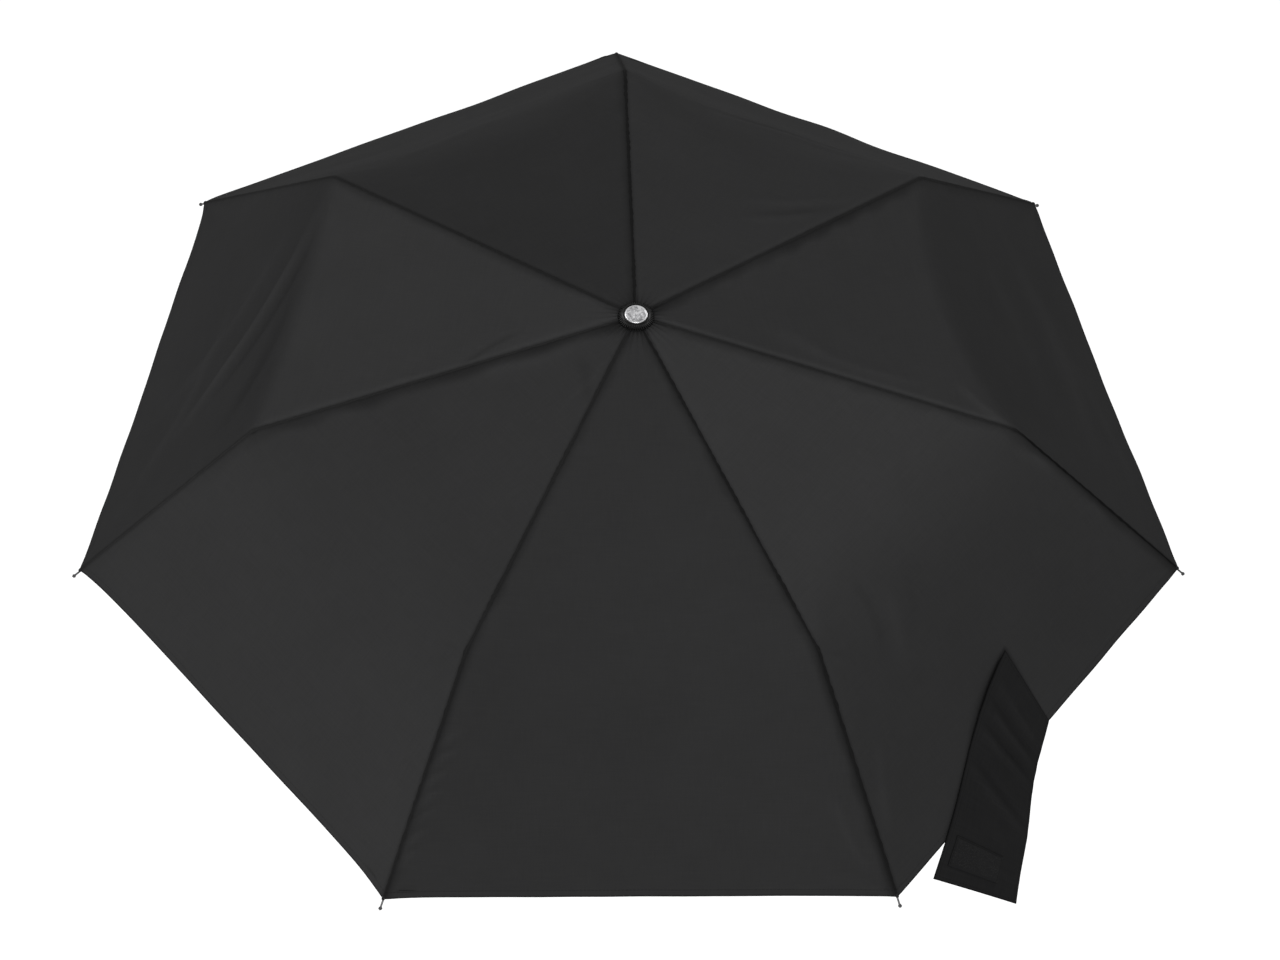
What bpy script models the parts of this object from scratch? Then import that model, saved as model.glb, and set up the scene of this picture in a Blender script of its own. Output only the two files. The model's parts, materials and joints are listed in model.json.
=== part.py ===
"""A compact folding umbrella, opened: three telescoping tubes, seven three-fold ribs and a cloth canopy.

The origin is the centre of the handle's flat base and +Z runs up the shaft. Every rib lies in a vertical
plane through the shaft, so each rib piece is drawn once, along +X from its own pivot, and then placed seven
times. Lengths are in metres and angles in radians.
"""

import math

import bmesh
import bpy
from mathutils import Matrix, Vector

# Driving dimensions
RIB_COUNT = 7
FIRST_RIB_ANGLE = math.radians(90)
GAP = 0.0003

HANDLE_HEIGHT = 0.062
HANDLE_RADIUS = 0.0162
HANDLE_SIDES = 32
TUBE_SIDES = 20
TUBE_WALL = 0.0008
UPPER_TUBE_RADIUS = 0.0060
TUBE_TRAVEL = 0.135
TUBE_STANDOFF = 0.001

NOTCH_RADIUS = 0.009
NOTCH_ABOVE_TUBE_END = 0.216
TOP_RIB_LENGTH = 0.157
STRETCHER_LENGTH = 0.095
INNER_SLOPE = math.radians(10.7)
OUTER_SLOPE = math.radians(44.3)
CLOSED_SLOPE = math.radians(89)
KNEE_RADIUS = 0.3183
RIM_RADIUS = 0.4685
TIP_PAST_CLOTH = 0.0085

CHANNEL_HALF_WIDTH = 0.0017
CHANNEL_GAUGE = 0.0005
CHANNEL_TOP = 0.0023
CHANNEL_BOTTOM = -0.0009
TONGUE_HALF_WIDTH = 0.0009
STRETCHER_HALF_WIDTH = 0.0008
EYE_RADIUS = 0.0015
EYE_HOLE_RADIUS = 0.00085
RIVET_RADIUS = 0.0005
RIVET_HALF_LENGTH = 0.0020
RING_WIRE_RADIUS = 0.00045
OUTER_WIRE_RADIUS = 0.0008
TIP_BALL_RADIUS = 0.0018

CLOTH_ABOVE_PIVOTS = 0.0055
CLOTH_ABOVE_KNEE_PIVOT = 0.0028
CLOTH_ABOVE_TIP = 0.0014
CLOTH_THICKNESS = 0.0004
CLOTH_HOLE_RADIUS = 0.008
SEAM_GAP = 0.00015

STRAP_GORE = 5
STRAP_THICKNESS = 0.0012
STRAP_LIFT = 0.0009

FLANGE_RADIUS = 0.0115
FLANGE_HALF_HEIGHT = 0.0035
SLOT_WIDTH = 0.0024
SLOT_INNER_RADIUS = 0.0070
SLOT_DEPTH_PAST_PIVOT = 0.0022
WIRE_GROOVE_RADIUS = 0.0080
WIRE_GROOVE_HALF_HEIGHT = 0.0009
BORE_RADIUS = UPPER_TUBE_RADIUS + GAP

BARREL_RADIUS = 0.0112
BARREL_LENGTH = 0.0240
BUTTON_BELOW_PIVOT = 0.0140
BUTTON_HEIGHT = 0.0054
BUTTON_TRAVEL = 0.0015
BUTTON_HALF_WIDTH = 0.00785
POCKET_RADIUS = 0.0099
POCKET_HEIGHT = BUTTON_HEIGHT + 2 * GAP
TOOTH_WIDTH = 0.0016

# Levels that follow from them
SHAFT_COLLAPSED_BASE = HANDLE_HEIGHT + TUBE_STANDOFF
NOTCH_Z = SHAFT_COLLAPSED_BASE + NOTCH_ABOVE_TUBE_END + 2 * TUBE_TRAVEL
RUNNER_Z = NOTCH_Z - 2 * STRETCHER_LENGTH * math.sin(INNER_SLOPE)
RUNNER_FOLDED_Z = NOTCH_Z - 2 * STRETCHER_LENGTH * math.sin(CLOSED_SLOPE)
CLOTH_APEX_Z = (
    NOTCH_Z + NOTCH_RADIUS * math.tan(INNER_SLOPE) + CLOTH_ABOVE_PIVOTS / math.cos(INNER_SLOPE)
)
KNEE_Z = CLOTH_APEX_Z - KNEE_RADIUS * math.tan(INNER_SLOPE)
RIM_Z = KNEE_Z - (RIM_RADIUS - KNEE_RADIUS) * math.tan(OUTER_SLOPE)


# Geometry in a rib's own plane, as (distance from the shaft's axis, height)
def along(slope, distance, above=0.0):
    """A step down a line of this slope, plus a step square to it on its upper side."""
    return Vector(
        (
            distance * math.cos(slope) + above * math.sin(slope),
            -distance * math.sin(slope) + above * math.cos(slope),
        )
    )


def knee_pivot():
    """The point the stated distances under both straight runs of the cloth, below its knee."""
    turn = OUTER_SLOPE - INNER_SLOPE
    under_inner = CLOTH_ABOVE_PIVOTS - 0.0002
    past_knee = (under_inner * math.cos(turn) - CLOTH_ABOVE_KNEE_PIVOT) / math.sin(turn)
    return Vector((KNEE_RADIUS, KNEE_Z)) + along(INNER_SLOPE, past_knee, -under_inner)


NOTCH_PIVOT = Vector((NOTCH_RADIUS, NOTCH_Z))
RUNNER_PIVOT = Vector((NOTCH_RADIUS, RUNNER_Z))
STRETCHER_PIVOT = NOTCH_PIVOT + along(INNER_SLOPE, STRETCHER_LENGTH)
MIDDLE_PIVOT_RISE = CHANNEL_TOP + 0.0009
MIDDLE_PIVOT = NOTCH_PIVOT + along(INNER_SLOPE, TOP_RIB_LENGTH, MIDDLE_PIVOT_RISE)
KNEE_PIVOT = knee_pivot()
MIDDLE_RIB_LENGTH = (KNEE_PIVOT - MIDDLE_PIVOT).dot(along(INNER_SLOPE, 1.0))
KNEE_PIVOT_RISE = (KNEE_PIVOT - MIDDLE_PIVOT).dot(along(INNER_SLOPE, 0.0, 1.0))
CLOTH_CORNER = Vector((RIM_RADIUS, RIM_Z))
TIP_LINE = CLOTH_CORNER + along(OUTER_SLOPE, 0.0, -CLOTH_ABOVE_TIP) - KNEE_PIVOT
OUTER_WIRE_SLOPE = math.atan2(-TIP_LINE.y, TIP_LINE.x)
OUTER_RIB_LENGTH = TIP_LINE.length + TIP_PAST_CLOTH


def rib_angle(index):
    return FIRST_RIB_ANGLE + index * 2 * math.pi / RIB_COUNT


def in_space(angle, point):
    """A point of a rib's plane as a point in space."""
    return Vector((point[0] * math.cos(angle), point[0] * math.sin(angle), point[1]))


# Scene and modelling helpers
def clear_scene():
    for old in list(bpy.data.objects):
        bpy.data.objects.remove(old, do_unlink=True)


def new_collection(name):
    collection = bpy.data.collections.new(name)
    bpy.context.scene.collection.children.link(collection)
    return collection


def new_material(name, colour, roughness, metallic):
    made = bpy.data.materials.new(name)
    made.use_nodes = True
    shader = made.node_tree.nodes["Principled BSDF"]
    shader.inputs["Base Color"].default_value = (*colour, 1.0)
    shader.inputs["Roughness"].default_value = roughness
    shader.inputs["Metallic"].default_value = metallic
    return made


def place(name, data, collection, material, location=(0, 0, 0), rotation=(0, 0, 0)):
    made = bpy.data.objects.new(name, data)
    made.location = location
    made.rotation_euler = rotation
    if material and not data.materials:
        data.materials.append(material)
    collection.objects.link(made)
    return made


def arc(centre, radius, start, end, steps):
    """Points on an arc, both ends included, with angles in degrees."""
    points = []
    for step in range(steps + 1):
        angle = math.radians(start + (end - start) * step / steps)
        points.append((centre[0] + radius * math.cos(angle), centre[1] + radius * math.sin(angle)))
    return points


def circle(centre, radius, sides=8):
    return arc(centre, radius, 0, 360, sides)[:-1]


def plate_curve(outlines, thickness):
    """A flat plate in the local XY plane, centred on it; outlines after the first are its holes."""
    curve = bpy.data.curves.new("plate", "CURVE")
    curve.dimensions = "2D"
    curve.fill_mode = "BOTH"
    curve.extrude = thickness / 2
    for outline in outlines:
        spline = curve.splines.new("POLY")
        spline.points.add(len(outline) - 1)
        spline.use_cyclic_u = True
        for point, (x, y) in zip(spline.points, outline):
            point.co = (x, y, 0, 1)
    return curve


def turned_mesh(profile, closed):
    """Vertices and edges of a profile of (radius, height) points, ready for a Screw modifier."""
    mesh = bpy.data.meshes.new("profile")
    count = len(profile)
    edges = [(i, (i + 1) % count) for i in range(count if closed else count - 1)]
    mesh.from_pydata([(radius, 0, height) for radius, height in profile], edges, [])
    return mesh


def add_turned(name, profile, closed, sides, collection, material, location=(0, 0, 0)):
    made = place(name, turned_mesh(profile, closed), collection, material, location)
    screw = made.modifiers.new("Screw", "SCREW")
    screw.axis = "Z"
    screw.steps = sides
    screw.render_steps = sides
    screw.use_merge_vertices = True
    screw.merge_threshold = 0.00001
    screw.use_smooth_shade = False
    return made


def add_box(name, low, high, collection, turn=0.0):
    """A box between two corners, turned about Z afterwards."""
    bm = bmesh.new()
    size = Vector(high) - Vector(low)
    middle = (Vector(high) + Vector(low)) / 2
    bmesh.ops.create_cube(bm, size=1, matrix=Matrix.Translation(middle) @ Matrix.Diagonal((*size, 1)))
    mesh = bpy.data.meshes.new(name)
    bm.to_mesh(mesh)
    bm.free()
    return place(name, mesh, collection, None, rotation=(0, 0, turn))


def add_rod(name, radius, start, end, sides, collection):
    """A straight round rod between two points."""
    axis = Vector(end) - Vector(start)
    turn = axis.to_track_quat("Z", "Y").to_matrix().to_4x4()
    bm = bmesh.new()
    bmesh.ops.create_cone(
        bm,
        cap_ends=True,
        segments=sides,
        radius1=radius,
        radius2=radius,
        depth=axis.length,
        matrix=Matrix.Translation((Vector(start) + Vector(end)) / 2) @ turn,
    )
    mesh = bpy.data.meshes.new(name)
    bm.to_mesh(mesh)
    bm.free()
    return place(name, mesh, collection, None)


def hide_cutter(cutter):
    cutter.hide_render = True
    cutter.display_type = "WIRE"


def add_boolean(target, cutter, operation):
    modifier = target.modifiers.new(operation.title(), "BOOLEAN")
    modifier.operation = operation
    modifier.solver = "EXACT"
    modifier.object = cutter
    hide_cutter(cutter)


def evaluated_mesh(source):
    """The evaluated shape of an object as a plain mesh in world space; the object is used up."""
    bpy.context.view_layer.update()
    evaluated = source.evaluated_get(bpy.context.evaluated_depsgraph_get())
    mesh = bpy.data.meshes.new_from_object(evaluated)
    mesh.transform(source.matrix_world)
    bpy.data.objects.remove(source, do_unlink=True)
    return mesh


def as_mesh_object(curve, collection):
    """A curve object's shape as a mesh object in the same place, with its caps welded on."""
    mesh = evaluated_mesh(curve)
    bm = bmesh.new()
    bm.from_mesh(mesh)
    bmesh.ops.remove_doubles(bm, verts=bm.verts, dist=0.000001)
    bm.to_mesh(mesh)
    bm.free()
    return place("plate_mesh", mesh, collection, None)


def union(pieces):
    """One mesh from overlapping mesh objects, which are used up."""
    base = pieces[0]
    for piece in pieces[1:]:
        add_boolean(base, piece, "UNION")
    mesh = evaluated_mesh(base)
    for piece in pieces[1:]:
        bpy.data.objects.remove(piece, do_unlink=True)
    mesh.materials.clear()
    return mesh


# Rib pieces, each drawn along +X with +Z towards the cloth, its own pivot at the origin
def upright_plate(outlines, thickness, scratch, side=0.0):
    """A plate that stands in the XZ plane, moved sideways along Y."""
    made = place(
        "upright", plate_curve(outlines, thickness), scratch, None, (0, side, 0), (math.pi / 2, 0, 0)
    )
    return as_mesh_object(made, scratch)


def channel(start, end, rise, scratch):
    """A pressed channel, open below, whose pivot line is this far under the origin's."""
    outer = CHANNEL_HALF_WIDTH
    inner = CHANNEL_HALF_WIDTH - CHANNEL_GAUGE
    top = CHANNEL_TOP + rise
    bottom = CHANNEL_BOTTOM + rise
    section = [
        (-outer, bottom),
        (-inner, bottom),
        (-inner, top - CHANNEL_GAUGE),
        (inner, top - CHANNEL_GAUGE),
        (inner, bottom),
        (outer, bottom),
        (outer, top),
        (-outer, top),
    ]
    made = place("channel", plate_curve([section], end - start), scratch, None)
    across_then_up_then_along = Matrix(((0, 0, 1), (1, 0, 0), (0, 1, 0))).to_4x4()
    made.matrix_world = Matrix.Translation(((start + end) / 2, 0, 0)) @ across_then_up_then_along
    return as_mesh_object(made, scratch)


def rivet(x, z, scratch):
    ends = [(x, -RIVET_HALF_LENGTH, z), (x, RIVET_HALF_LENGTH, z)]
    return add_rod("rivet", RIVET_RADIUS, *ends, 8, scratch)


def ears(outline, scratch):
    """The channel's two side walls carried on past its end, around a rivet."""
    middle_of_wall = CHANNEL_HALF_WIDTH - CHANNEL_GAUGE / 2
    thickness = CHANNEL_GAUGE - 0.0001
    sides = (-middle_of_wall, middle_of_wall)
    return [upright_plate([outline], thickness, scratch, side) for side in sides]


def eye_tongue(reach, bottom, top):
    """A flat tongue that starts as a round eye at the origin and widens into the channel."""
    neck = EYE_RADIUS * 0.62
    return [
        *arc((0, 0), EYE_RADIUS, 45, 315, 6),
        (0.0025, -neck),
        (reach * 0.6, bottom),
        (reach, bottom),
        (reach, top),
        (reach * 0.6, top),
        (0.0025, neck),
    ]


def top_rib_mesh(scratch):
    start = 0.012
    end = TOP_RIB_LENGTH - 0.003
    lower = CHANNEL_BOTTOM + CHANNEL_GAUGE
    tongue = [
        eye_tongue(start + 0.006, lower, CHANNEL_TOP - CHANNEL_GAUGE / 2),
        circle((0, 0), EYE_HOLE_RADIUS),
    ]
    pivot = (TOP_RIB_LENGTH, MIDDLE_PIVOT_RISE)
    ear = [
        (end - 0.006, CHANNEL_BOTTOM + 0.0004),
        (end - 0.0004, CHANNEL_BOTTOM + 0.0004),
        *arc(pivot, EYE_RADIUS, -60, 150, 5),
        (end - 0.006, CHANNEL_TOP - 0.0002),
    ]
    return union(
        [
            channel(start, end, 0.0, scratch),
            upright_plate(tongue, 2 * TONGUE_HALF_WIDTH, scratch),
            *ears(ear, scratch),
            rivet(STRETCHER_LENGTH, 0.0, scratch),
            rivet(*pivot, scratch),
        ]
    )


def middle_rib_mesh(scratch):
    rise = -MIDDLE_PIVOT_RISE
    start = 0.005
    end = MIDDLE_RIB_LENGTH - 0.0020
    tongue = [
        *arc((0, 0), EYE_RADIUS, 60, 270, 5),
        (0.0030, rise + CHANNEL_BOTTOM + 0.0010),
        (0.0050, rise + CHANNEL_BOTTOM + 0.0004),
        (start + 0.006, rise + CHANNEL_BOTTOM + 0.0004),
        (start + 0.006, rise + CHANNEL_TOP - CHANNEL_GAUGE / 2),
        (0.0030, rise + CHANNEL_TOP - CHANNEL_GAUGE / 2),
    ]
    pivot = (MIDDLE_RIB_LENGTH, KNEE_PIVOT_RISE)
    ear = [
        (end - 0.006, rise + CHANNEL_BOTTOM + 0.0002),
        (end - 0.0004, rise + CHANNEL_BOTTOM + 0.0002),
        *arc(pivot, EYE_RADIUS, -90, 90, 5),
        (end - 0.0010, rise + CHANNEL_TOP - 0.0002),
        (end - 0.006, rise + CHANNEL_TOP - 0.0002),
    ]
    return union(
        [
            channel(start, end, rise, scratch),
            upright_plate([tongue, circle((0, 0), EYE_HOLE_RADIUS)], 2 * TONGUE_HALF_WIDTH, scratch),
            *ears(ear, scratch),
            rivet(*pivot, scratch),
        ]
    )


def stretcher_mesh(scratch):
    far = (STRETCHER_LENGTH, 0)
    outline = [*arc((0, 0), EYE_RADIUS, 45, 315, 6), *arc(far, EYE_RADIUS, -135, 135, 6)]
    waist = EYE_RADIUS * 0.6
    outline.insert(7, (0.004, -waist))
    outline.insert(8, (STRETCHER_LENGTH - 0.004, -waist))
    outline.extend([(STRETCHER_LENGTH - 0.004, waist), (0.004, waist)])
    holes = [circle((0, 0), EYE_HOLE_RADIUS), circle(far, EYE_HOLE_RADIUS)]
    bar = upright_plate([outline, *holes], 2 * STRETCHER_HALF_WIDTH, scratch)
    return union([bar])


def outer_rib_mesh(scratch):
    eye = [
        *arc((0, 0), EYE_RADIUS, 45, 315, 6),
        (0.0060, -OUTER_WIRE_RADIUS * 0.8),
        (0.0060, OUTER_WIRE_RADIUS * 0.8),
    ]
    eye_with_hole = [eye, circle((0, 0), EYE_HOLE_RADIUS)]
    ball = bpy.data.meshes.new("tip_ball")
    bm = bmesh.new()
    bmesh.ops.create_icosphere(
        bm,
        subdivisions=1,
        radius=TIP_BALL_RADIUS,
        matrix=Matrix.Translation((OUTER_RIB_LENGTH, 0, 0)),
    )
    bm.to_mesh(ball)
    bm.free()
    return union(
        [
            add_rod("wire", OUTER_WIRE_RADIUS, (0.0035, 0, 0), (OUTER_RIB_LENGTH, 0, 0), 10, scratch),
            upright_plate(eye_with_hole, 2 * STRETCHER_HALF_WIDTH - 0.0002, scratch),
            place("tip_ball", ball, scratch, None),
        ]
    )


def add_ribs(parts, scratch, material):
    """Every rib piece: its drawing, the pivot it turns on and how far it points down."""
    pieces = (
        ("top_rib", top_rib_mesh(scratch), NOTCH_PIVOT, INNER_SLOPE),
        ("stretcher", stretcher_mesh(scratch), STRETCHER_PIVOT, math.pi - INNER_SLOPE),
        ("middle_rib", middle_rib_mesh(scratch), MIDDLE_PIVOT, INNER_SLOPE),
        ("outer_rib", outer_rib_mesh(scratch), KNEE_PIVOT, OUTER_WIRE_SLOPE),
    )
    for name, mesh, pivot, slope in pieces:
        for index in range(RIB_COUNT):
            angle = rib_angle(index)
            centre = in_space(angle, pivot)
            place(f"{name}_{index + 1}", mesh, parts, material, centre, (0, slope, angle))


# Shaft and handle
def tube_profile(radius, bottom, top):
    inner = radius - TUBE_WALL
    return [(radius, top), (radius, bottom), (inner, bottom), (inner, top)]


def add_shaft(parts, cutters, steel):
    inward = TUBE_WALL + GAP
    middle_radius = UPPER_TUBE_RADIUS - inward
    lower_radius = middle_radius - inward
    upper_bottom = NOTCH_Z - NOTCH_ABOVE_TUBE_END
    upper_top = NOTCH_Z + FLANGE_HALF_HEIGHT + 0.0005
    middle_bottom = SHAFT_COLLAPSED_BASE + TUBE_TRAVEL
    middle_length = NOTCH_ABOVE_TUBE_END - 0.006
    lower_bottom = 0.011
    lower_top = SHAFT_COLLAPSED_BASE + middle_length - 0.005
    upper_profile = tube_profile(UPPER_TUBE_RADIUS, upper_bottom, upper_top)
    middle_profile = tube_profile(middle_radius, middle_bottom, middle_bottom + middle_length)
    lower_profile = tube_profile(lower_radius, lower_bottom, lower_top)
    upper = add_turned("upper_tube", upper_profile, True, TUBE_SIDES, parts, steel)
    add_turned("middle_tube", middle_profile, True, TUBE_SIDES, parts, steel)
    add_turned("lower_tube", lower_profile, True, TUBE_SIDES, parts, steel)
    tooth_reach = BUTTON_BELOW_PIVOT + BUTTON_HEIGHT / 2 + 0.001
    guide_slot = add_box(
        "tooth_slot",
        (-SLOT_WIDTH / 2, UPPER_TUBE_RADIUS - TUBE_WALL - 0.0006, RUNNER_FOLDED_Z - tooth_reach),
        (SLOT_WIDTH / 2, UPPER_TUBE_RADIUS + 0.001, RUNNER_Z - BUTTON_BELOW_PIVOT + BUTTON_HEIGHT),
        cutters,
    )
    add_boolean(upper, guide_slot, "DIFFERENCE")
    return lower_radius


def add_handle(parts, grip_plastic, trim_plastic, tube_radius):
    bore = tube_radius + GAP
    end_cap_top = 0.005
    collar_bottom = 0.056
    end_radius = HANDLE_RADIUS - 0.001
    waist_radius = HANDLE_RADIUS - 0.0022
    end_cap = [
        (0, end_cap_top),
        (end_radius, end_cap_top),
        (end_radius, 0.0015),
        (end_radius - 0.0015, 0),
        (0, 0),
    ]
    grip_bottom = end_cap_top + GAP
    grip_top = collar_bottom - GAP
    grip = [(bore, grip_top), (HANDLE_RADIUS - 0.0004, grip_top)]
    for step in range(1, 8):
        share = step / 8
        height = grip_top + (grip_bottom - grip_top) * share
        swell = math.cos(2 * math.pi * share) / 2 + 0.5
        grip.append((waist_radius + (end_radius - waist_radius) * swell, height))
    grip += [(end_radius, grip_bottom), (0, grip_bottom), (0, 0.0105), (bore, 0.0105)]
    collar = [
        (bore, HANDLE_HEIGHT),
        (HANDLE_RADIUS - 0.0020, HANDLE_HEIGHT),
        (HANDLE_RADIUS, HANDLE_HEIGHT - 0.0018),
        (HANDLE_RADIUS, collar_bottom),
        (bore, collar_bottom),
    ]
    add_turned("handle_end_cap", end_cap, False, HANDLE_SIDES, parts, trim_plastic)
    add_turned("handle_grip", grip, True, HANDLE_SIDES, parts, grip_plastic)
    add_turned("handle_collar", collar, True, HANDLE_SIDES, parts, trim_plastic)


# Notch, runner and cap
def cut_pivot_seats(target, pivot_z, opens_up, cutters):
    """Slots for seven eyes and the groove for the ring wire that threads them."""
    floor = pivot_z - SLOT_DEPTH_PAST_PIVOT
    ceiling = pivot_z + SLOT_DEPTH_PAST_PIVOT
    far = 2 * FLANGE_HALF_HEIGHT
    low, high = (floor, pivot_z + far) if opens_up else (pivot_z - far, ceiling)
    for index in range(RIB_COUNT):
        slot = add_box(
            f"{target.name}_slot_{index + 1}",
            (SLOT_INNER_RADIUS, -SLOT_WIDTH / 2, low),
            (FLANGE_RADIUS + 0.002, SLOT_WIDTH / 2, high),
            cutters,
            rib_angle(index),
        )
        add_boolean(target, slot, "DIFFERENCE")
    groove_profile = [
        (FLANGE_RADIUS + 0.001, pivot_z + WIRE_GROOVE_HALF_HEIGHT),
        (FLANGE_RADIUS + 0.001, pivot_z - WIRE_GROOVE_HALF_HEIGHT),
        (WIRE_GROOVE_RADIUS, pivot_z - WIRE_GROOVE_HALF_HEIGHT),
        (WIRE_GROOVE_RADIUS, pivot_z + WIRE_GROOVE_HALF_HEIGHT),
    ]
    groove = add_turned(f"{target.name}_groove", groove_profile, True, 2 * RIB_COUNT, cutters, None)
    add_boolean(target, groove, "DIFFERENCE")


def add_ring_wire(name, height, parts, material):
    """The wire through the seven eyes: a ring of straight runs that cross each eye squarely."""
    sides = 4 * RIB_COUNT
    bulge = 1 / math.cos(math.pi / sides)
    ring = [
        (RING_WIRE_RADIUS * math.cos(turn) + NOTCH_RADIUS * bulge, RING_WIRE_RADIUS * math.sin(turn))
        for turn in (math.radians(60 - 60 * step) for step in range(6))
    ]
    made = add_turned(name, ring, True, sides, parts, material, (0, 0, height))
    made.rotation_euler = (0, 0, FIRST_RIB_ANGLE + math.pi / sides)


def add_notch(parts, cutters, material):
    profile = [
        (FLANGE_RADIUS, NOTCH_Z + FLANGE_HALF_HEIGHT),
        (FLANGE_RADIUS, NOTCH_Z - FLANGE_HALF_HEIGHT),
        (BORE_RADIUS + 0.001, NOTCH_Z - FLANGE_HALF_HEIGHT - 0.003),
        (BORE_RADIUS, NOTCH_Z - FLANGE_HALF_HEIGHT - 0.003),
        (BORE_RADIUS, NOTCH_Z + FLANGE_HALF_HEIGHT),
    ]
    notch = add_turned("top_notch", profile, True, TUBE_SIDES, parts, material)
    cut_pivot_seats(notch, NOTCH_Z, False, cutters)


def add_runner(parts, cutters, material):
    barrel_top = RUNNER_Z - FLANGE_HALF_HEIGHT - 0.004
    barrel_bottom = RUNNER_Z - BARREL_LENGTH
    profile = [
        (FLANGE_RADIUS, RUNNER_Z + FLANGE_HALF_HEIGHT),
        (FLANGE_RADIUS, RUNNER_Z - FLANGE_HALF_HEIGHT),
        (FLANGE_RADIUS - 0.0020, RUNNER_Z - FLANGE_HALF_HEIGHT - 0.001),
        (FLANGE_RADIUS - 0.0020, barrel_top),
        (BARREL_RADIUS, barrel_top - 0.001),
        (BARREL_RADIUS, barrel_bottom + 0.0015),
        (BARREL_RADIUS - 0.0015, barrel_bottom),
        (BORE_RADIUS, barrel_bottom),
        (BORE_RADIUS, RUNNER_Z + FLANGE_HALF_HEIGHT),
    ]
    runner = add_turned("runner", profile, True, TUBE_SIDES, parts, material)
    cut_pivot_seats(runner, RUNNER_Z, True, cutters)
    low = RUNNER_Z - BUTTON_BELOW_PIVOT - POCKET_HEIGHT / 2
    high = low + POCKET_HEIGHT
    pocket_profile = [(0, high), (POCKET_RADIUS, high), (POCKET_RADIUS, low), (0, low)]
    pocket = add_turned("runner_pocket", pocket_profile, False, 24, cutters, None)
    half_mouth = BUTTON_HALF_WIDTH + GAP
    mouth = add_box("runner_mouth", (-half_mouth, -0.014, low), (half_mouth, 0, high), cutters)
    add_boolean(runner, pocket, "DIFFERENCE")
    add_boolean(runner, mouth, "DIFFERENCE")


def add_button(parts, plastic, steel):
    """A ring round the tube: pressing its front at -Y draws the tooth at +Y out of the tube's slot."""
    clear = UPPER_TUBE_RADIUS + GAP
    back = clear + 0.0012
    front = BARREL_RADIUS + BUTTON_TRAVEL
    outline = [
        (0.0030, back),
        (-0.0030, back),
        (-BUTTON_HALF_WIDTH, 0.0035),
        (-BUTTON_HALF_WIDTH, -0.0065),
        *arc((0, 0), front, 230, 310, 6),
        (BUTTON_HALF_WIDTH, -0.0065),
        (BUTTON_HALF_WIDTH, 0.0035),
    ]
    tooth_tip = UPPER_TUBE_RADIUS - TUBE_WALL / 2
    opening = [
        *arc((0, 0), clear, 0, 75, 4),
        (TOOTH_WIDTH / 2, clear),
        (TOOTH_WIDTH / 2, tooth_tip),
        (-TOOTH_WIDTH / 2, tooth_tip),
        (-TOOTH_WIDTH / 2, clear),
        *arc((0, 0), clear, 105, 180, 4),
        *arc((0, -BUTTON_TRAVEL), clear, 180, 360, 10),
    ]
    height = RUNNER_Z - BUTTON_BELOW_PIVOT
    ring = plate_curve([outline, opening], BUTTON_HEIGHT)
    place("runner_button", ring, parts, plastic, (0, 0, height))
    foot = back + GAP
    leaf = [
        (-0.0032, foot + 0.0001),
        (-0.0026, foot + 0.00005),
        (0, foot + 0.0010),
        (0.0026, foot + 0.00005),
        (0.0032, foot + 0.0001),
        (0, foot + 0.0013),
    ]
    place("button_spring", plate_curve([leaf], BUTTON_HEIGHT - 0.001), parts, steel, (0, 0, height))


def add_cap(parts, plastic, metal):
    apex = CLOTH_APEX_Z
    disc_radius = 0.0093
    rim_radius = 0.0107
    base_radius = 0.0150
    stem_radius = UPPER_TUBE_RADIUS - TUBE_WALL - GAP
    seat = apex + 0.0010
    profile = [
        (0, seat),
        (disc_radius + GAP, seat),
        (disc_radius + GAP, apex + 0.0024),
        (rim_radius, apex + 0.0024),
        (base_radius, apex - 0.0004),
        (base_radius, apex - 0.0019),
        (stem_radius + 0.0015, apex - 0.0003),
        (stem_radius, apex - 0.0003),
        (stem_radius, NOTCH_Z - 0.002),
        (0, NOTCH_Z - 0.002),
    ]
    add_turned("top_cap", profile, False, 28, parts, plastic)
    disc = [
        (0, apex + 0.0028),
        (disc_radius * 0.55, apex + 0.0026),
        (disc_radius - 0.0006, apex + 0.0022),
        (disc_radius, apex + 0.0017),
        (disc_radius, seat + GAP),
        (0, seat + GAP),
    ]
    add_turned("cap_disc", disc, False, 28, parts, metal)


# Canopy and strap
def add_gore(index, parts, cloth):
    """One panel between two ribs: a flat inner run to the knees and a flat outer run to the rim."""
    levels = (
        (CLOTH_HOLE_RADIUS, CLOTH_APEX_Z - CLOTH_HOLE_RADIUS * math.tan(INNER_SLOPE)),
        (KNEE_RADIUS, KNEE_Z),
        (RIM_RADIUS, RIM_Z),
    )
    bm = bmesh.new()
    rows = []
    for level in levels:
        row = []
        for neighbour, inset in ((index, SEAM_GAP), (index + 1, -SEAM_GAP)):
            angle = rib_angle(neighbour)
            sideways = Vector((-math.sin(angle), math.cos(angle), 0))
            row.append(bm.verts.new(in_space(angle, level) + sideways * inset))
        rows.append(row)
    for upper, lower in zip(rows, rows[1:]):
        bm.faces.new((upper[0], lower[0], lower[1], upper[1]))
    mesh = bpy.data.meshes.new("gore")
    bm.to_mesh(mesh)
    bm.free()
    made = place(f"canopy_gore_{index + 1}", mesh, parts, cloth)
    shell = made.modifiers.new("Solidify", "SOLIDIFY")
    shell.thickness = CLOTH_THICKNESS
    shell.offset = 1.0
    shell.use_even_offset = True


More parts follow.
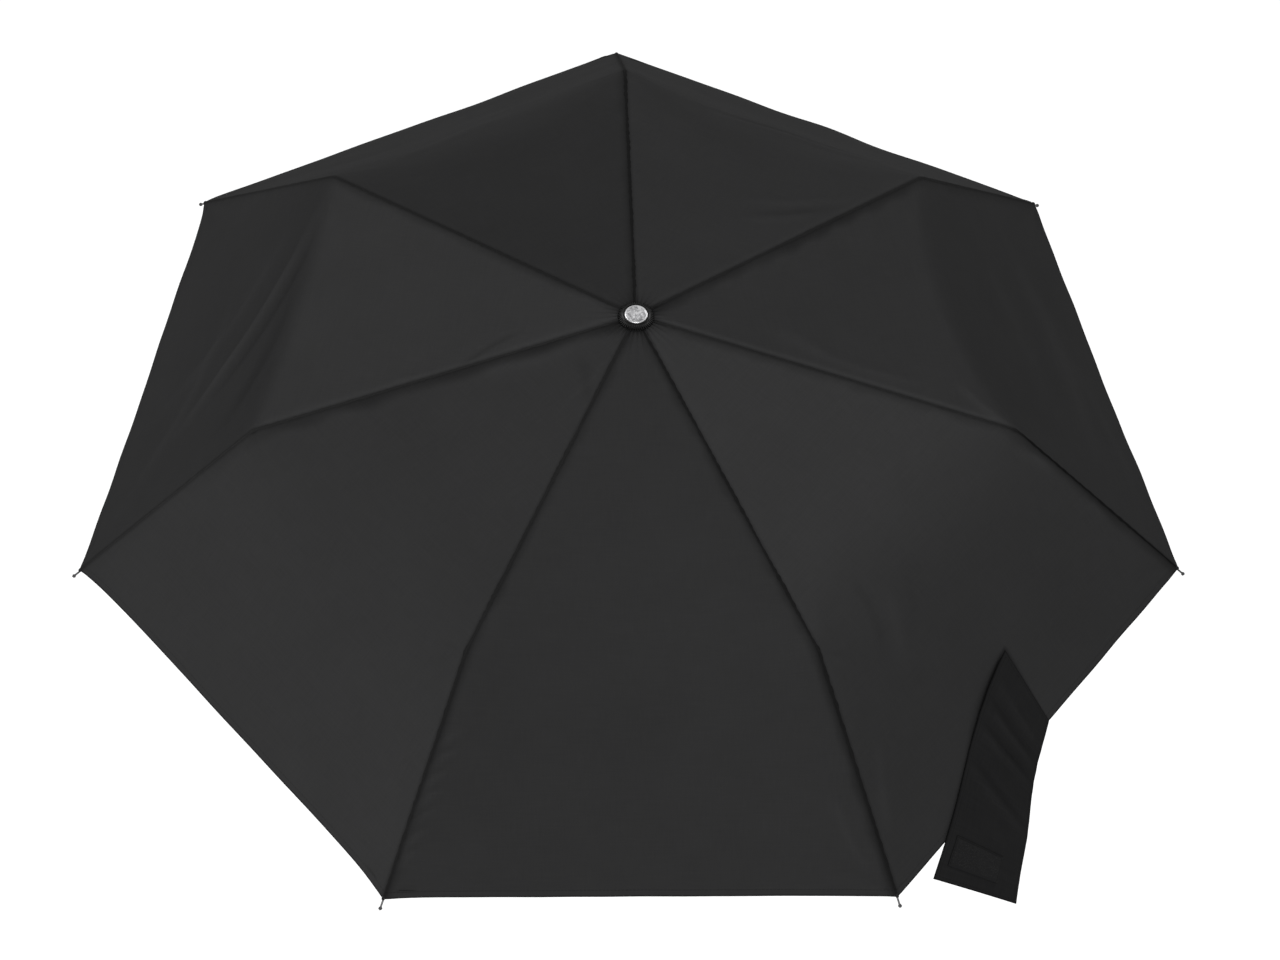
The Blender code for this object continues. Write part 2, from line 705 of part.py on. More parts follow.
def outer_run_frame(index):
    """Axes of a gore's outer run: origin at the middle of its hem, X along the hem, Y up the slope."""
    corners = []
    for level in ((KNEE_RADIUS, KNEE_Z), (RIM_RADIUS, RIM_Z)):
        corners.append([in_space(rib_angle(i), level) for i in (index, index + 1)])
    knees, tips = corners
    middle = (tips[0] + tips[1]) / 2
    across = (tips[1] - tips[0]).normalized()
    up_slope = ((knees[0] + knees[1]) / 2 - middle).normalized()
    outward = across.cross(up_slope)
    frame = Matrix((across, up_slope, outward)).transposed().to_4x4()
    return Matrix.Translation(middle) @ frame


def add_strap(parts, cloth, hook_tape):
    """The closing strap, sewn on by its short end from the hem inward and lying towards the next rib."""
    frame = outer_run_frame(STRAP_GORE - 1)
    root_top = (0.0095, 0.0750)
    root_bottom = (0.0080, 0.0005)
    free_bottom = (-0.1150, -0.0880)
    free_top = (-0.1670, -0.0140)
    strap = place(
        "closure_strap",
        plate_curve([[root_top, free_top, free_bottom, root_bottom]], STRAP_THICKNESS),
        parts,
        cloth,
    )
    strap.matrix_world = frame @ Matrix.Translation((0, 0, STRAP_LIFT + STRAP_THICKNESS / 2))
    along_end = Vector((free_bottom[0] - free_top[0], free_bottom[1] - free_top[1])).normalized()
    back = Vector((-along_end.y, along_end.x))
    start = Vector(free_top) + along_end * 0.012 + back * 0.008
    length = 0.045
    width = 0.018
    end = start + along_end * length
    corners = [start, end, end + back * width, start + back * width]
    patch = place("strap_patch", plate_curve([corners], 0.0008), parts, hook_tape)
    patch.matrix_world = frame @ Matrix.Translation((0, 0, STRAP_LIFT + STRAP_THICKNESS + GAP + 0.0004))


def build():
    clear_scene()
    parts = new_collection("folding_umbrella")
    cutters = new_collection("cutters")
    scratch = new_collection("scratch")
    steel = new_material("shaft_steel", (0.55, 0.56, 0.58), 0.25, 1.0)
    black_steel = new_material("rib_steel", (0.02, 0.02, 0.022), 0.40, 0.6)
    plastic = new_material("black_plastic", (0.015, 0.015, 0.016), 0.45, 0.0)
    grip = new_material("grip_plastic", (0.018, 0.018, 0.019), 0.60, 0.0)
    silver = new_material("cap_silver", (0.62, 0.62, 0.62), 0.35, 1.0)
    cloth = new_material("canopy_cloth", (0.028, 0.028, 0.029), 0.85, 0.0)
    strap_cloth = new_material("strap_cloth", (0.016, 0.016, 0.017), 0.90, 0.0)
    add_handle(parts, grip, plastic, add_shaft(parts, cutters, steel))
    add_notch(parts, cutters, plastic)
    add_runner(parts, cutters, plastic)
    add_ring_wire("notch_wire", NOTCH_Z, parts, steel)
    add_ring_wire("runner_wire", RUNNER_Z, parts, steel)
    add_button(parts, plastic, steel)
    add_ribs(parts, scratch, black_steel)
    add_cap(parts, plastic, silver)
    for index in range(RIB_COUNT):
        add_gore(index, parts, cloth)
    add_strap(parts, strap_cloth, plastic)
    bpy.data.collections.remove(scratch)
    for cutter in cutters.objects:
        hide_cutter(cutter)


build()
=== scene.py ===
"""How the opened folding umbrella looks: its canopy, seams, strap, cap and materials, round the CAD frame.

Lengths are in metres. Gore i lies between rib i and rib i + 1, counted from 0 counterclockwise from above.
A gore is laid out on a grid: its rows cross it from rib to rib, and its columns run from the hub to the hem.
Where seven values stand together, they go by gore, or by rib for what belongs to a seam.
The cloth can't follow the ribs as one sheet, so each gore is cut along its rows into bands. Every band rides
on its own rib piece.
"""

import json
import math

import bpy
import numpy as np
from mathutils import Matrix, Vector


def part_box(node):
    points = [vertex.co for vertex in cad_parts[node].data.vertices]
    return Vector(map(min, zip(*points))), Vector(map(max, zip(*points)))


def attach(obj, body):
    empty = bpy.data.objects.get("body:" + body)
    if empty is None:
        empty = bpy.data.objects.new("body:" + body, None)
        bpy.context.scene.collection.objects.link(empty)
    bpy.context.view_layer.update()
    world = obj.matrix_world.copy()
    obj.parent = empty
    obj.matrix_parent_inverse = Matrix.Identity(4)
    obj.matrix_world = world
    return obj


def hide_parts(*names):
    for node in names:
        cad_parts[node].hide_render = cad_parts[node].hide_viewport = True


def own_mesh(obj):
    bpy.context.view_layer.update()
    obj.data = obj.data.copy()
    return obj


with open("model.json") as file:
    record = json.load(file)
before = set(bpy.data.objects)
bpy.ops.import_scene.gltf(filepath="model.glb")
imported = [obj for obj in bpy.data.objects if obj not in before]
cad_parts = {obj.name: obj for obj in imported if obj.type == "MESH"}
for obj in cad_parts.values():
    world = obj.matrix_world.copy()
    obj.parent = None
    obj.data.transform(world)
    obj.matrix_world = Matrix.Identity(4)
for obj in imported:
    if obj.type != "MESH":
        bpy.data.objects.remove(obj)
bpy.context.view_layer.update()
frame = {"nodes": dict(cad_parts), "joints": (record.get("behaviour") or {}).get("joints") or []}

# Canopy, as the CAD has it
RIB_COUNT = 7
FIRST_RIB_ANGLE = math.radians(90)
HALF_GORE = math.pi / RIB_COUNT
CLOTH_ABOVE_PIVOTS = 0.0055
CLOTH_HOLE_RADIUS = 0.0075
KNEE_RADIUS = 0.3183
OUTER_SLOPE = math.radians(44.3)

# How the cloth hangs between the ribs
KNEE_ROUNDING = (0.060, 0.010, 0.090, 0.095, 0.080, 0.014, 0.060)
SHARPEST_KNEE = 0.002
KNEE_BOWS = (0.0, 0.0, 0.0, 0.0, 0.0, 0.016, 0.0)
KNEE_BOW_REACH = 0.080
SAG = 0.0060
SAG_FADES_FROM = 0.39
SAG_FADES_OVER = 0.07
SEAM_TUCK = 0.0010
SEAM_TUCK_REACH = 0.005
HEM_SETBACK = (0.0030, 0.0065, 0.0055, 0.0015, 0.0, 0.0040, 0.0075)
HEM_CURVE = 0.019

# Waves: how high and how long. Pleats that fan out from a corner: how far they reach, how high, and how many.
BROAD_WAVES = (0.0011, 0.150)
FINE_WAVES = (0.0005, 0.060)
RIM_FANS = (0.060, 0.0008, 11)
KNEE_FANS = (0.045, 0.0004, 9)

# Puckers beside the seams
PUCKER_HEIGHT = 0.00034
PUCKER_PITCH = 0.0105
PUCKER_REACH = 0.0075

# How finely a gore is laid out: rows down each run of its ribs, columns across, bands below the knee, and the
# last rows, which take up the hem's setback
INNER_ROWS = 52
MIDDLE_ROWS = 52
OUTER_ROWS = 72
COLUMNS = 81
SHORT_BANDS = 6
ROWS_PER_BAND = 6
SETBACK_ROWS = 12

# Painted light and shade on each gore's cloth, for how its facets face the lamps: how light it is painted
# above the knee and below it, and how much painted shade lies just below the knee
CROWN_PAINTED_LIGHT = (0.87, 1.16, 1.06, 1.00, 1.24, 1.04, 1.03)
SKIRT_PAINTED_LIGHT = (1.08, 1.00, 1.13, 0.96, 0.93, 0.94, 1.12)
KNEE_SHADES = (0.0, 0.14, 0.0, 0.0, 0.0, 0.06, 0.0)

# Seams and hem. Painted shade lies in a band beside each seam, in the gore after its rib or in the one before
# it.
SEAM_SHADE_AFTER = (True, True, True, True, False, False, False)
SEAM_PAINTED_SHADE = (0.18, 0.24, 0.38, 0.22, 0.24, 0.22, 0.36)
SKIRT_SEAM_PAINTED_SHADE = (0.10, 0.08, 0.04, 0.26, 0.32, 0.30, 0.14)
SEAM_PAINTED_SHADE_WIDTH = (0.0085, 0.0100, 0.0140, 0.0085, 0.0090, 0.0110, 0.0125)

# Painted highlight, a lighter line beside a seam, by gore: on its first side, and on its last
SEAM_PAINTED_HIGHLIGHTS = {1: (0.0, 0.10), 5: (0.22, 0.0), 6: (0.06, 0.0)}
SEAM_HIGHLIGHT_PLACE = 0.0040
SEAM_HIGHLIGHT_WIDTH = 0.0026

# The sewn ridge over each rib: how full it is, and the painted light and shade on it, above the knee and
# below it
SEAM_FULLNESS = (0.95, 1.0, 0.9, 1.05, 1.0, 0.70, 0.9)
SKIRT_SEAM_FULLNESS = (0.9, 0.7, 0.60, 1.2, 1.55, 1.7, 1.0)
SEAM_PAINTED_LIGHT = (0.62, 0.90, 1.10, 0.93, 0.66, 1.05, 0.95)
SKIRT_SEAM_PAINTED_LIGHT = (1.15, 1.25, 1.35, 0.85, 0.62, 0.40, 1.0)
SEAM_HALF_WIDTH = 0.0016
SEAM_HEIGHT = 0.0007
SEAM_START_RADIUS = 0.0120
SEAM_ROW_PITCH = 0.0016
SEAM_BUMP_PITCH = 0.0082
HEM_WIDTH = 0.0065
HEM_TUCKED_IN = 0.003

# Colours, each from its darker shade to its lighter one
CANOPY_COLOURS = ((0.0205, 0.0205, 0.0207), (0.0245, 0.0245, 0.0248))
# The seam cloth is darker than the canopy's, partly for its folded layers and partly as painted shade of the
# crease along each rib
SEAM_COLOURS = ((0.0115, 0.0115, 0.0115), (0.0160, 0.0160, 0.0160))
STRAP_COLOURS = ((0.0090, 0.0090, 0.0092), (0.0125, 0.0125, 0.0127))
TAPE_COLOURS = ((0.006, 0.006, 0.0062), (0.013, 0.013, 0.0132))
THREAD_COLOURS = ((0.004, 0.004, 0.004), (0.020, 0.020, 0.021))
PLASTIC_COLOURS = ((0.0020, 0.0020, 0.0020), (0.0055, 0.0055, 0.0056))
GRIP_COLOURS = ((0.010, 0.010, 0.010), (0.018, 0.018, 0.0185))
PLATED_COLOURS = ((0.50, 0.51, 0.52), (0.66, 0.67, 0.69))
COATED_COLOURS = ((0.030, 0.030, 0.031), (0.085, 0.085, 0.088))
SILVER_COLOURS = ((0.24, 0.24, 0.25), (0.86, 0.86, 0.87))
FLOOR_COLOURS = ((0.90, 0.90, 0.90), (0.94, 0.94, 0.94))

# Camera: a long lens, well above the canopy
CAMERA_ELEVATION = math.radians(53.5)
CAMERA_AZIMUTH = math.radians(-3.86)
CAMERA_ROLL = math.radians(3.04)
CAMERA_DISTANCE = 3.654
CAMERA_ASIDE = 0.0032
CAMERA_BELOW = 0.1327
CAMERA_LENS = 127.15

# Floor and light. A softbox has an azimuth, an elevation and the level it lights a facing surface to.
FLOOR_Z = -2.6
FLOOR_HALF_WIDTH = 30.0
FLOOR_GLOW = 0.13
AMBIENT = 0.45
SOFTBOX_DISTANCE = 6.0
SOFTBOX_SIZE = 3.0
SOFTBOXES = {"front": (270, 27, 0.80), "back_right": (30, 27, 0.41), "back_left": (150, 32, 0.60)}


# Places that the frame gives
def joint_point(name):
    return Vector(next(j["pos_m"] for j in frame["joints"] if j["name"] == name))


NOTCH = joint_point("fold")
STRETCHER_JOINT = joint_point("stretcher_1_fold")
MIDDLE_JOINT = joint_point("middle_rib_1_fold")
INNER_SLOPE = math.atan2(NOTCH.z - STRETCHER_JOINT.z, STRETCHER_JOINT.y - NOTCH.y)
APEX_Z = NOTCH.z + NOTCH.y * math.tan(INNER_SLOPE) + CLOTH_ABOVE_PIVOTS / math.cos(INNER_SLOPE)
MIDDLE_RADIUS = MIDDLE_JOINT.y
RIM_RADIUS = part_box("canopy_gore_1")[1].y
CAP_LOW, CAP_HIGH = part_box("top_cap")
DISC_LOW, DISC_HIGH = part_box("cap_disc")
UP = np.array([0.0, 0.0, 1.0])


def rib_angle(index):
    return FIRST_RIB_ANGLE + index * 2 * HALF_GORE


def outward(angle):
    return np.array([math.cos(angle), math.sin(angle), 0.0])


def sideways(angle):
    return np.array([-math.sin(angle), math.cos(angle), 0.0])


# The shape of the cloth. A point's measures are its place on it, how far it is from a seam and from the hem,
# and the painted light and shade laid on the cloth there.
MEASURES = ("across", "down", "seam", "hem", "shade")


def cloth_height(radius, softness):
    """Height of the cloth over a rib at this radius, with its knee rounded over this much either side."""
    past = radius - KNEE_RADIUS
    bend = np.where(past > -softness, (past + softness) ** 2 / (4 * softness), 0.0)
    bend = np.where(past > softness, past, bend)
    return APEX_Z - radius * math.tan(INNER_SLOPE) - bend * (math.tan(OUTER_SLOPE) - math.tan(INNER_SLOPE))


def down_slope(radius):
    """Distance down the middle of a gore, measured on the cloth."""
    inner = math.hypot(math.cos(HALF_GORE), math.tan(INNER_SLOPE))
    outer = math.hypot(math.cos(HALF_GORE), math.tan(OUTER_SLOPE))
    return np.minimum(radius, KNEE_RADIUS) * inner + np.maximum(radius - KNEE_RADIUS, 0) * outer


def smooth(share):
    """An even step from 0 to 1, level at both ends."""
    share = np.clip(share, 0, 1)
    return share * share * (3 - 2 * share)


def blended(one, two, share):
    """From the first value to the second, by this share."""
    return one * (1 - share) + two * share


def rolling(across, down, wavelength, seed, count=4):
    """Gentle waves of about this wavelength, from -1 to 1, the same for the same seed."""
    rng = np.random.default_rng(seed)
    total = np.zeros(np.broadcast(across, down).shape)
    for _ in range(count):
        turn = rng.uniform(0, math.pi)
        phase = rng.uniform(0, 2 * math.pi)
        stretch = rng.uniform(0.75, 1.35)
        distance = across * math.cos(turn) + down * math.sin(turn)
        total += np.sin(2 * math.pi * distance / (wavelength * stretch) + phase)
    return total / count


def crease(across, down, start, end, width, height):
    """One soft ridge on the cloth between two (across, down) points, fading at both ends."""
    run = np.subtract(end, start)
    length = math.hypot(*run)
    run = run / length
    along = (across - start[0]) * run[0] + (down - start[1]) * run[1]
    off = (across - start[0]) * -run[1] + (down - start[1]) * run[0]
    bow = off + 0.06 * length * np.sin(math.pi * along / length)
    fade = smooth(along / (0.35 * length)) * smooth((length - along) / (0.35 * length))
    return height * fade * np.exp(-((bow / width) ** 2))


# Creases that stand out, by gore: (start, end, width, height), each point as (across, down) on the cloth
CREASES = {
    0: (
        ((0.100, 0.300), (-0.060, 0.335), 0.0100, 0.0008),
    ),
    1: (
        ((-0.126, 0.292), (0.110, 0.428), 0.0070, 0.0027),
        ((-0.110, 0.288), (0.090, 0.398), 0.0050, -0.0012),
        ((-0.116, 0.330), (0.070, 0.460), 0.0070, 0.0010),
        ((-0.070, 0.390), (0.170, 0.462), 0.0060, 0.0009),
        ((-0.040, 0.305), (0.130, 0.352), 0.0080, -0.0014),
        ((0.050, 0.090), (0.080, 0.205), 0.0040, 0.0007),
        ((0.068, 0.140), (0.016, 0.085), 0.0030, -0.0011),
    ),
    2: (
        ((-0.010, 0.025), (-0.062, 0.150), 0.0060, 0.0010),
        ((-0.013, 0.052), (0.040, 0.085), 0.0050, -0.0010),
        ((0.010, 0.030), (0.020, 0.110), 0.0040, 0.0006),
    ),
    3: (
        ((0.183, 0.475), (0.150, 0.400), 0.0035, 0.0010),
    ),
    4: (
        ((-0.058, 0.262), (-0.092, 0.352), 0.0050, -0.0009),
        ((-0.040, 0.285), (-0.086, 0.368), 0.0060, 0.0009),
        ((-0.020, 0.300), (-0.050, 0.350), 0.0050, -0.0005),
        ((-0.180, 0.455), (-0.130, 0.380), 0.0055, 0.0011),
        ((0.120, 0.290), (0.175, 0.430), 0.0070, 0.0016),
    ),
    5: (
        ((0.160, 0.402), (-0.130, 0.420), 0.0130, 0.0012),
        ((0.120, 0.350), (-0.090, 0.378), 0.0120, 0.0006),
        ((0.020, 0.440), (-0.160, 0.462), 0.0070, 0.0007),
        ((-0.136, 0.292), (-0.078, 0.256), 0.0045, 0.0013),
        ((-0.090, 0.250), (-0.030, 0.120), 0.0050, 0.0009),
        ((-0.015, 0.105), (-0.060, 0.160), 0.0080, 0.0009),
    ),
    6: (
        ((0.070, 0.292), (-0.118, 0.330), 0.0050, 0.0013),
        ((0.100, 0.300), (-0.118, 0.345), 0.0045, 0.0012),
        ((-0.104, 0.240), (-0.004, 0.180), 0.0045, 0.0009),
        ((-0.096, 0.224), (-0.016, 0.168), 0.0040, -0.0007),
        ((-0.086, 0.205), (-0.020, 0.158), 0.0040, 0.0007),
    ),
}

# How much they are raised, and how much painted light the cloth gets per metre that they stand up, with
# painted shade where they sink
CREASE_RELIEF = 1.6
CREASE_PAINTED_LIGHT = 85

# A row of short puckers that leave one gore's first seam below its knee
PUCKERED_GORE = 3
SHORT_PUCKERS = 7
SHORT_PUCKER_RADIUS = 0.380
SHORT_PUCKER_PITCH = 0.0122
SHORT_PUCKER_RISE = 0.022
SHORT_PUCKER_WIDTH = 0.0022


def seam_puckers(index, side, distance, rows_down):
    """Small puckers square to a seam, stronger in some stretches than in others."""
    strength = 0.35 + 0.65 * smooth(rolling(rows_down, rows_down, 0.120, 300 + 2 * index + side) + 0.4)
    beat = rows_down / PUCKER_PITCH + 0.8 * rolling(rows_down, rows_down, 0.065, 340 + 2 * index + side)
    puckers = np.sin(2 * math.pi * beat + 60 * distance)
    fading = np.exp(-distance / PUCKER_REACH) * smooth(distance / 0.0018)
    return PUCKER_HEIGHT * strength * puckers * fading


def corner_fans(index, across, down, radius, reach, size, fans):
    """Pleats that fan out from the two points where the seams pull at the cloth, at this radius."""
    height = np.zeros_like(across)
    for side in (-1, 1):
        corner = side * radius * math.sin(HALF_GORE)
        below = down - down_slope(radius)
        distance = np.hypot(across - corner, below)
        angle = np.arctan2(below, (corner - across) * side)
        fan = np.sin(fans * angle + 1.7 * index + side)
        height += size * fan * smooth(distance / 0.02) * np.exp(-distance / reach)
    return height


def hub_pleats(index, across, down, half_width):
    """Pleats that the cap gathers."""
    pleats = np.sin(2 * math.pi * 2.5 * across / np.maximum(half_width, 1e-6) + index)
    return 0.0006 * np.exp(-np.maximum(down - 0.012, 0) / 0.020) * pleats * smooth(down / 0.012)


def wrinkles(index, across, down, half_width, from_near, from_far, rows_down):
    """How far the cloth stands off its smooth shape; nothing does at a seam."""
    from_seam = np.minimum(from_near, from_far)
    free = smooth(from_seam / 0.012)
    height = BROAD_WAVES[0] * free * rolling(across, down, BROAD_WAVES[1], 100 + index)
    height += FINE_WAVES[0] * free * rolling(across, down, FINE_WAVES[1], 200 + index)
    height += seam_puckers(index, 0, from_near, rows_down) + seam_puckers(index, 1, from_far, rows_down)
    fans = corner_fans(index, across, down, RIM_RADIUS, *RIM_FANS)
    fans += corner_fans(index, across, down, KNEE_RADIUS, *KNEE_FANS)
    return height + fans * smooth(from_seam / 0.010) + hub_pleats(index, across, down, half_width)


def creases(index, across, down, from_seam):
    """How far the creases of one gore stand up."""
    height = np.zeros_like(across)
    for start, end, width, size in CREASES[index]:
        height += crease(across, down, start, end, width, size)
    height *= smooth(from_seam / 0.008)
    if index == PUCKERED_GORE:
        for pucker in range(SHORT_PUCKERS):
            radius = SHORT_PUCKER_RADIUS + SHORT_PUCKER_PITCH * pucker
            start = np.array((-radius * math.sin(HALF_GORE), float(down_slope(radius))))
            end = start + (0.030 - 0.001 * pucker, -SHORT_PUCKER_RISE)
            size = 0.0011 + 0.0002 * (pucker % 2)
            height += crease(across, down, start, end, SHORT_PUCKER_WIDTH, size)
    return height


def unit(vectors):
    return vectors / np.maximum(np.linalg.norm(vectors, axis=-1, keepdims=True), 1e-12)


def grid_normals(points):
    """Normals of a grid of points whose rows run outward and whose columns run counterclockwise."""
    return unit(np.cross(np.gradient(points, axis=0), np.gradient(points, axis=1)))


def gore_rows():
    """Radii of the rows, and the rows that the gore is cut along: at the rib joints and below the knee."""
    inner = np.linspace(CLOTH_HOLE_RADIUS, MIDDLE_RADIUS, INNER_ROWS + 1)
    middle = np.linspace(MIDDLE_RADIUS, KNEE_RADIUS, MIDDLE_ROWS + 1)
    outer = np.linspace(KNEE_RADIUS, RIM_RADIUS, OUTER_ROWS + 1)
    rows = np.concatenate([inner, middle[1:], outer[1:]])
    knee = INNER_ROWS + MIDDLE_ROWS
    below_knee = [knee + ROWS_PER_BAND * (band + 1) for band in range(SHORT_BANDS)]
    return rows, [0, INNER_ROWS, knee, *below_knee, len(rows) - 1]


def gore_shade(index, radius, from_near, from_far, rows_down):
    """Painted light and shade on the cloth: by gore above and below the knee, and beside its seams."""
    past = radius - KNEE_RADIUS
    reach = 0.006 + 0.8 * KNEE_ROUNDING[index]
    skirt = smooth((past + reach) / (2 * reach))
    # Painted light above the knee and below it, and painted shade just below the knee
    shade = blended(CROWN_PAINTED_LIGHT[index], SKIRT_PAINTED_LIGHT[index], skirt)
    shade = shade * (1 - KNEE_SHADES[index] * skirt * np.exp(-np.maximum(past, 0) / 0.035))
    # Painted shade in a band beside a seam, on the side that each rib's entry gives
    for rib, distance, after in ((index, from_near, True), ((index + 1) % RIB_COUNT, from_far, False)):
        if SEAM_SHADE_AFTER[rib] == after:
            edge = SEAM_PAINTED_SHADE_WIDTH[rib] * (1 + 0.30 * rolling(rows_down, rows_down, 0.050, 600 + rib))
            # Painted shade, full at the seam and fading out across the band
            doubled = smooth((edge - distance) / (0.8 * edge))
            strength = blended(SEAM_PAINTED_SHADE[rib], SKIRT_SEAM_PAINTED_SHADE[rib], skirt)
            strength = strength * (1 + 0.35 * rolling(rows_down, rows_down, 0.090, 620 + rib))
            shade = shade * (1 - strength * doubled)
    # Painted highlight in a line beside some seams, above the knee
    for distance, seam_highlight in zip((from_near, from_far), SEAM_PAINTED_HIGHLIGHTS.get(index, (0.0, 0.0))):
        edge = np.exp(-(((distance - SEAM_HIGHLIGHT_PLACE) / SEAM_HIGHLIGHT_WIDTH) ** 2))
        shade = shade * (1 + seam_highlight * edge * (1 - skirt))
    return shade


def grid_of(points, across=0.0, down=0.0, seam=0.5, hem=0.5, shade=1.0):
    """A grid of points with its normals and its cloth measures, each spread over the whole grid."""
    measures = zip(MEASURES, (across, down, seam, hem, shade))
    spread = {key: np.broadcast_to(values, points.shape[:2]) for key, values in measures}
    return {"points": points, "normals": grid_normals(points), **spread}


def gore_grid(index):
    """Row radii, cuts and grid of one gore."""
    rows, cuts = gore_rows()
    even = np.linspace(0, 1, COLUMNS)
    share = (even + (1 - np.cos(math.pi * even)) / 2) / 2
    near, far = rib_angle(index), rib_angle(index + 1)
    middle = (near + far) / 2
    chord = 2 * RIM_RADIUS * math.sin(HALF_GORE)
    from_corner = np.minimum(share, 1 - share) * chord
    setback = HEM_SETBACK[index] * (1 - np.exp(-from_corner / HEM_CURVE))
    setback /= math.hypot(math.cos(HALF_GORE), math.tan(OUTER_SLOPE))
    first = len(rows) - 1 - SETBACK_ROWS
    shrink = np.zeros_like(rows)
    shrink[first:] = (rows[first:] - rows[first]) / (rows[-1] - rows[first])
    radius = rows[:, None] - shrink[:, None] * setback[None, :]
    share = np.broadcast_to(share, radius.shape)
    half_width = radius * math.sin(HALF_GORE)
    across = (2 * share - 1) * half_width
    down = down_slope(radius)
    arch = 4 * share * (1 - share)
    softness = SHARPEST_KNEE + KNEE_ROUNDING[index] * arch**0.8
    bow = KNEE_BOWS[index] * arch**0.7
    bowed = radius + bow * np.exp(-(((radius - KNEE_RADIUS) / KNEE_BOW_REACH) ** 2))
    height = cloth_height(bowed, softness)
    level = radius * math.cos(HALF_GORE)
    points = level[..., None] * outward(middle) + across[..., None] * sideways(middle)
    points = points + height[..., None] * UP
    rows_down = rows[:, None] / math.cos(INNER_SLOPE)
    from_near = (half_width + across) * math.cos(HALF_GORE)
    from_far = (half_width - across) * math.cos(HALF_GORE)
    from_seam = np.minimum(from_near, from_far)
    depth = SAG * arch * smooth(rows / KNEE_RADIUS)[:, None]
    depth = depth * (1 - smooth((radius - SAG_FADES_FROM) / SAG_FADES_OVER))
    depth = depth - SEAM_TUCK * (1 - np.exp(-from_seam / SEAM_TUCK_REACH))
    folds = creases(index, across, down, from_seam)
    lift = wrinkles(index, across, down, half_width, from_near, from_far, rows_down)
    lift = lift + CREASE_RELIEF * folds - depth
    points = points + grid_normals(points) * lift[..., None]
    # Painted light on the crease ridges and painted shade in their hollows
    shade = gore_shade(index, bowed, from_near, from_far, rows_down) * (1 + CREASE_PAINTED_LIGHT * folds)
    from_hem = np.maximum(down[-1:] - down, 0.0)
    return rows, cuts, grid_of(points, across, down, from_seam, from_hem, shade)


# Meshes from grids
def linked(name, data):
    """A new object in the scene, from its mesh, lamp or camera."""
    made = bpy.data.objects.new(name, data)
    bpy.context.scene.collection.objects.link(made)
    return made


def add_measures(mesh, measures):
    """Lay the cloth measures of the mesh's points on it: two as its UV map, the others as attributes."""
    corners = np.zeros(len(mesh.loops), np.int32)
    mesh.loops.foreach_get("vertex_index", corners)
    both = np.stack([measures["across"][corners], measures["down"][corners]], -1)
    mesh.uv_layers.new(name="cloth").data.foreach_set("uv", both.astype(np.float32).ravel())
    for key in ("seam", "hem", "shade"):
        attribute = mesh.attributes.new(key, "FLOAT", "POINT")
        attribute.data.foreach_set("value", measures[key].astype(np.float32))


def grid_faces(rows, columns, first=0):
    faces = []
    for row in range(rows - 1):
        for column in range(columns - 1):
            corner = first + row * columns + column
            faces.append((corner, corner + columns, corner + columns + 1, corner + 1))
    return faces


def mesh_from_grids(name, grids, material):
    """One mesh object from grids of points, each with its normals and its cloth measures."""
    points, normals, faces = [], [], []
    measures = {key: [] for key in MEASURES}
    count = 0
    for grid in grids:
        rows, columns = grid["points"].shape[:2]
        faces += grid_faces(rows, columns, count)
        points.append(grid["points"].reshape(-1, 3))
        normals.append(grid["normals"].reshape(-1, 3))
        for key, kept in measures.items():
            kept.append(grid[key].reshape(-1))
        count += rows * columns
    mesh = bpy.data.meshes.new(name)
    mesh.from_pydata(np.concatenate(points).tolist(), [], faces)
    mesh.shade_smooth()
    add_measures(mesh, {key: np.concatenate(kept) for key, kept in measures.items()})
    mesh.normals_split_custom_set_from_vertices(np.concatenate(normals).tolist())
    mesh.materials.append(material)
    return linked(name, mesh)


def slice_of(grid, first, last):
    return {key: values[first : last + 1] for key, values in grid.items()}


def hem_grid(grid):
    """The edge of the cloth turned under: a narrow doubled band along the last row."""
    edge, before = grid["points"][-1], grid["points"][-2]
    normal = grid["normals"][-1]
    inward = unit(before - edge)
    section = (
        (HEM_WIDTH, -0.0005),
        (HEM_WIDTH - 0.0004, -0.0010),
        (0.0004, -0.0010),
        (-0.0003, -0.0005),
        (0.0, 0.0001),
        (0.0010, 0.0002),
        (0.0012, -0.0001),
    )
    points = np.stack([edge + inward * back + normal * rise for back, rise in section])
    backs = np.array([back for back, _ in section])[:, None]
    across, down, seam, shade = (grid[key][-1] for key in ("across", "down", "seam", "shade"))
    return grid_of(points, across, down - backs, seam, np.abs(backs), shade)


def down_rib(index, slope):
    """Unit vector down a rib line of this slope."""
    return outward(rib_angle(index)) * math.cos(slope) - UP * math.sin(slope)


def off_rib(index, slope):
    """Unit vector square to a rib line of this slope, in the gore that follows it."""
    run = down_rib(index, slope)
    chord = sideways(rib_angle(index) + HALF_GORE)
    return unit(chord - run * float(chord @ run))


def rib_point(index, radius):
    return outward(rib_angle(index)) * radius + UP * float(cloth_height(radius, SHARPEST_KNEE))


def flatten(made):
    """Give a piece its own copy of its mesh."""
    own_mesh(made)


def add_gore(index, cloth):
    """The bands of one gore, each on the rib piece under its near edge.
    """
    rows, cuts, grid = gore_grid(index)
    number = index + 1
    chord = sideways(rib_angle(index) + HALF_GORE)
    bands = [
        ("inner", f"top_rib_{number}", off_rib(index, INNER_SLOPE)),
        ("middle", f"middle_rib_{number}", off_rib(index, INNER_SLOPE)),
    ]
    bands += [(f"outer_{band + 1}", f"outer_rib_{number}", chord) for band in range(SHORT_BANDS)]
    bands += [(f"outer_{SHORT_BANDS + 1}", f"outer_rib_{number}", off_rib(index, OUTER_SLOPE))]
    for (band, body, axis), first, last in zip(bands, cuts, cuts[1:]):
        part = slice_of(grid, first, last)
        grids = [part]
        length = float(part["down"][-1].max() - part["down"][0].min())
        if last == cuts[-1]:
            grids.append(hem_grid(part))
            length += HEM_WIDTH + HEM_TUCKED_IN
        made = mesh_from_grids(f"gore_{number}_{band}", grids, cloth)
        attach(made, body)
        flatten(made)
        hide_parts(f"canopy_gore_{number}")


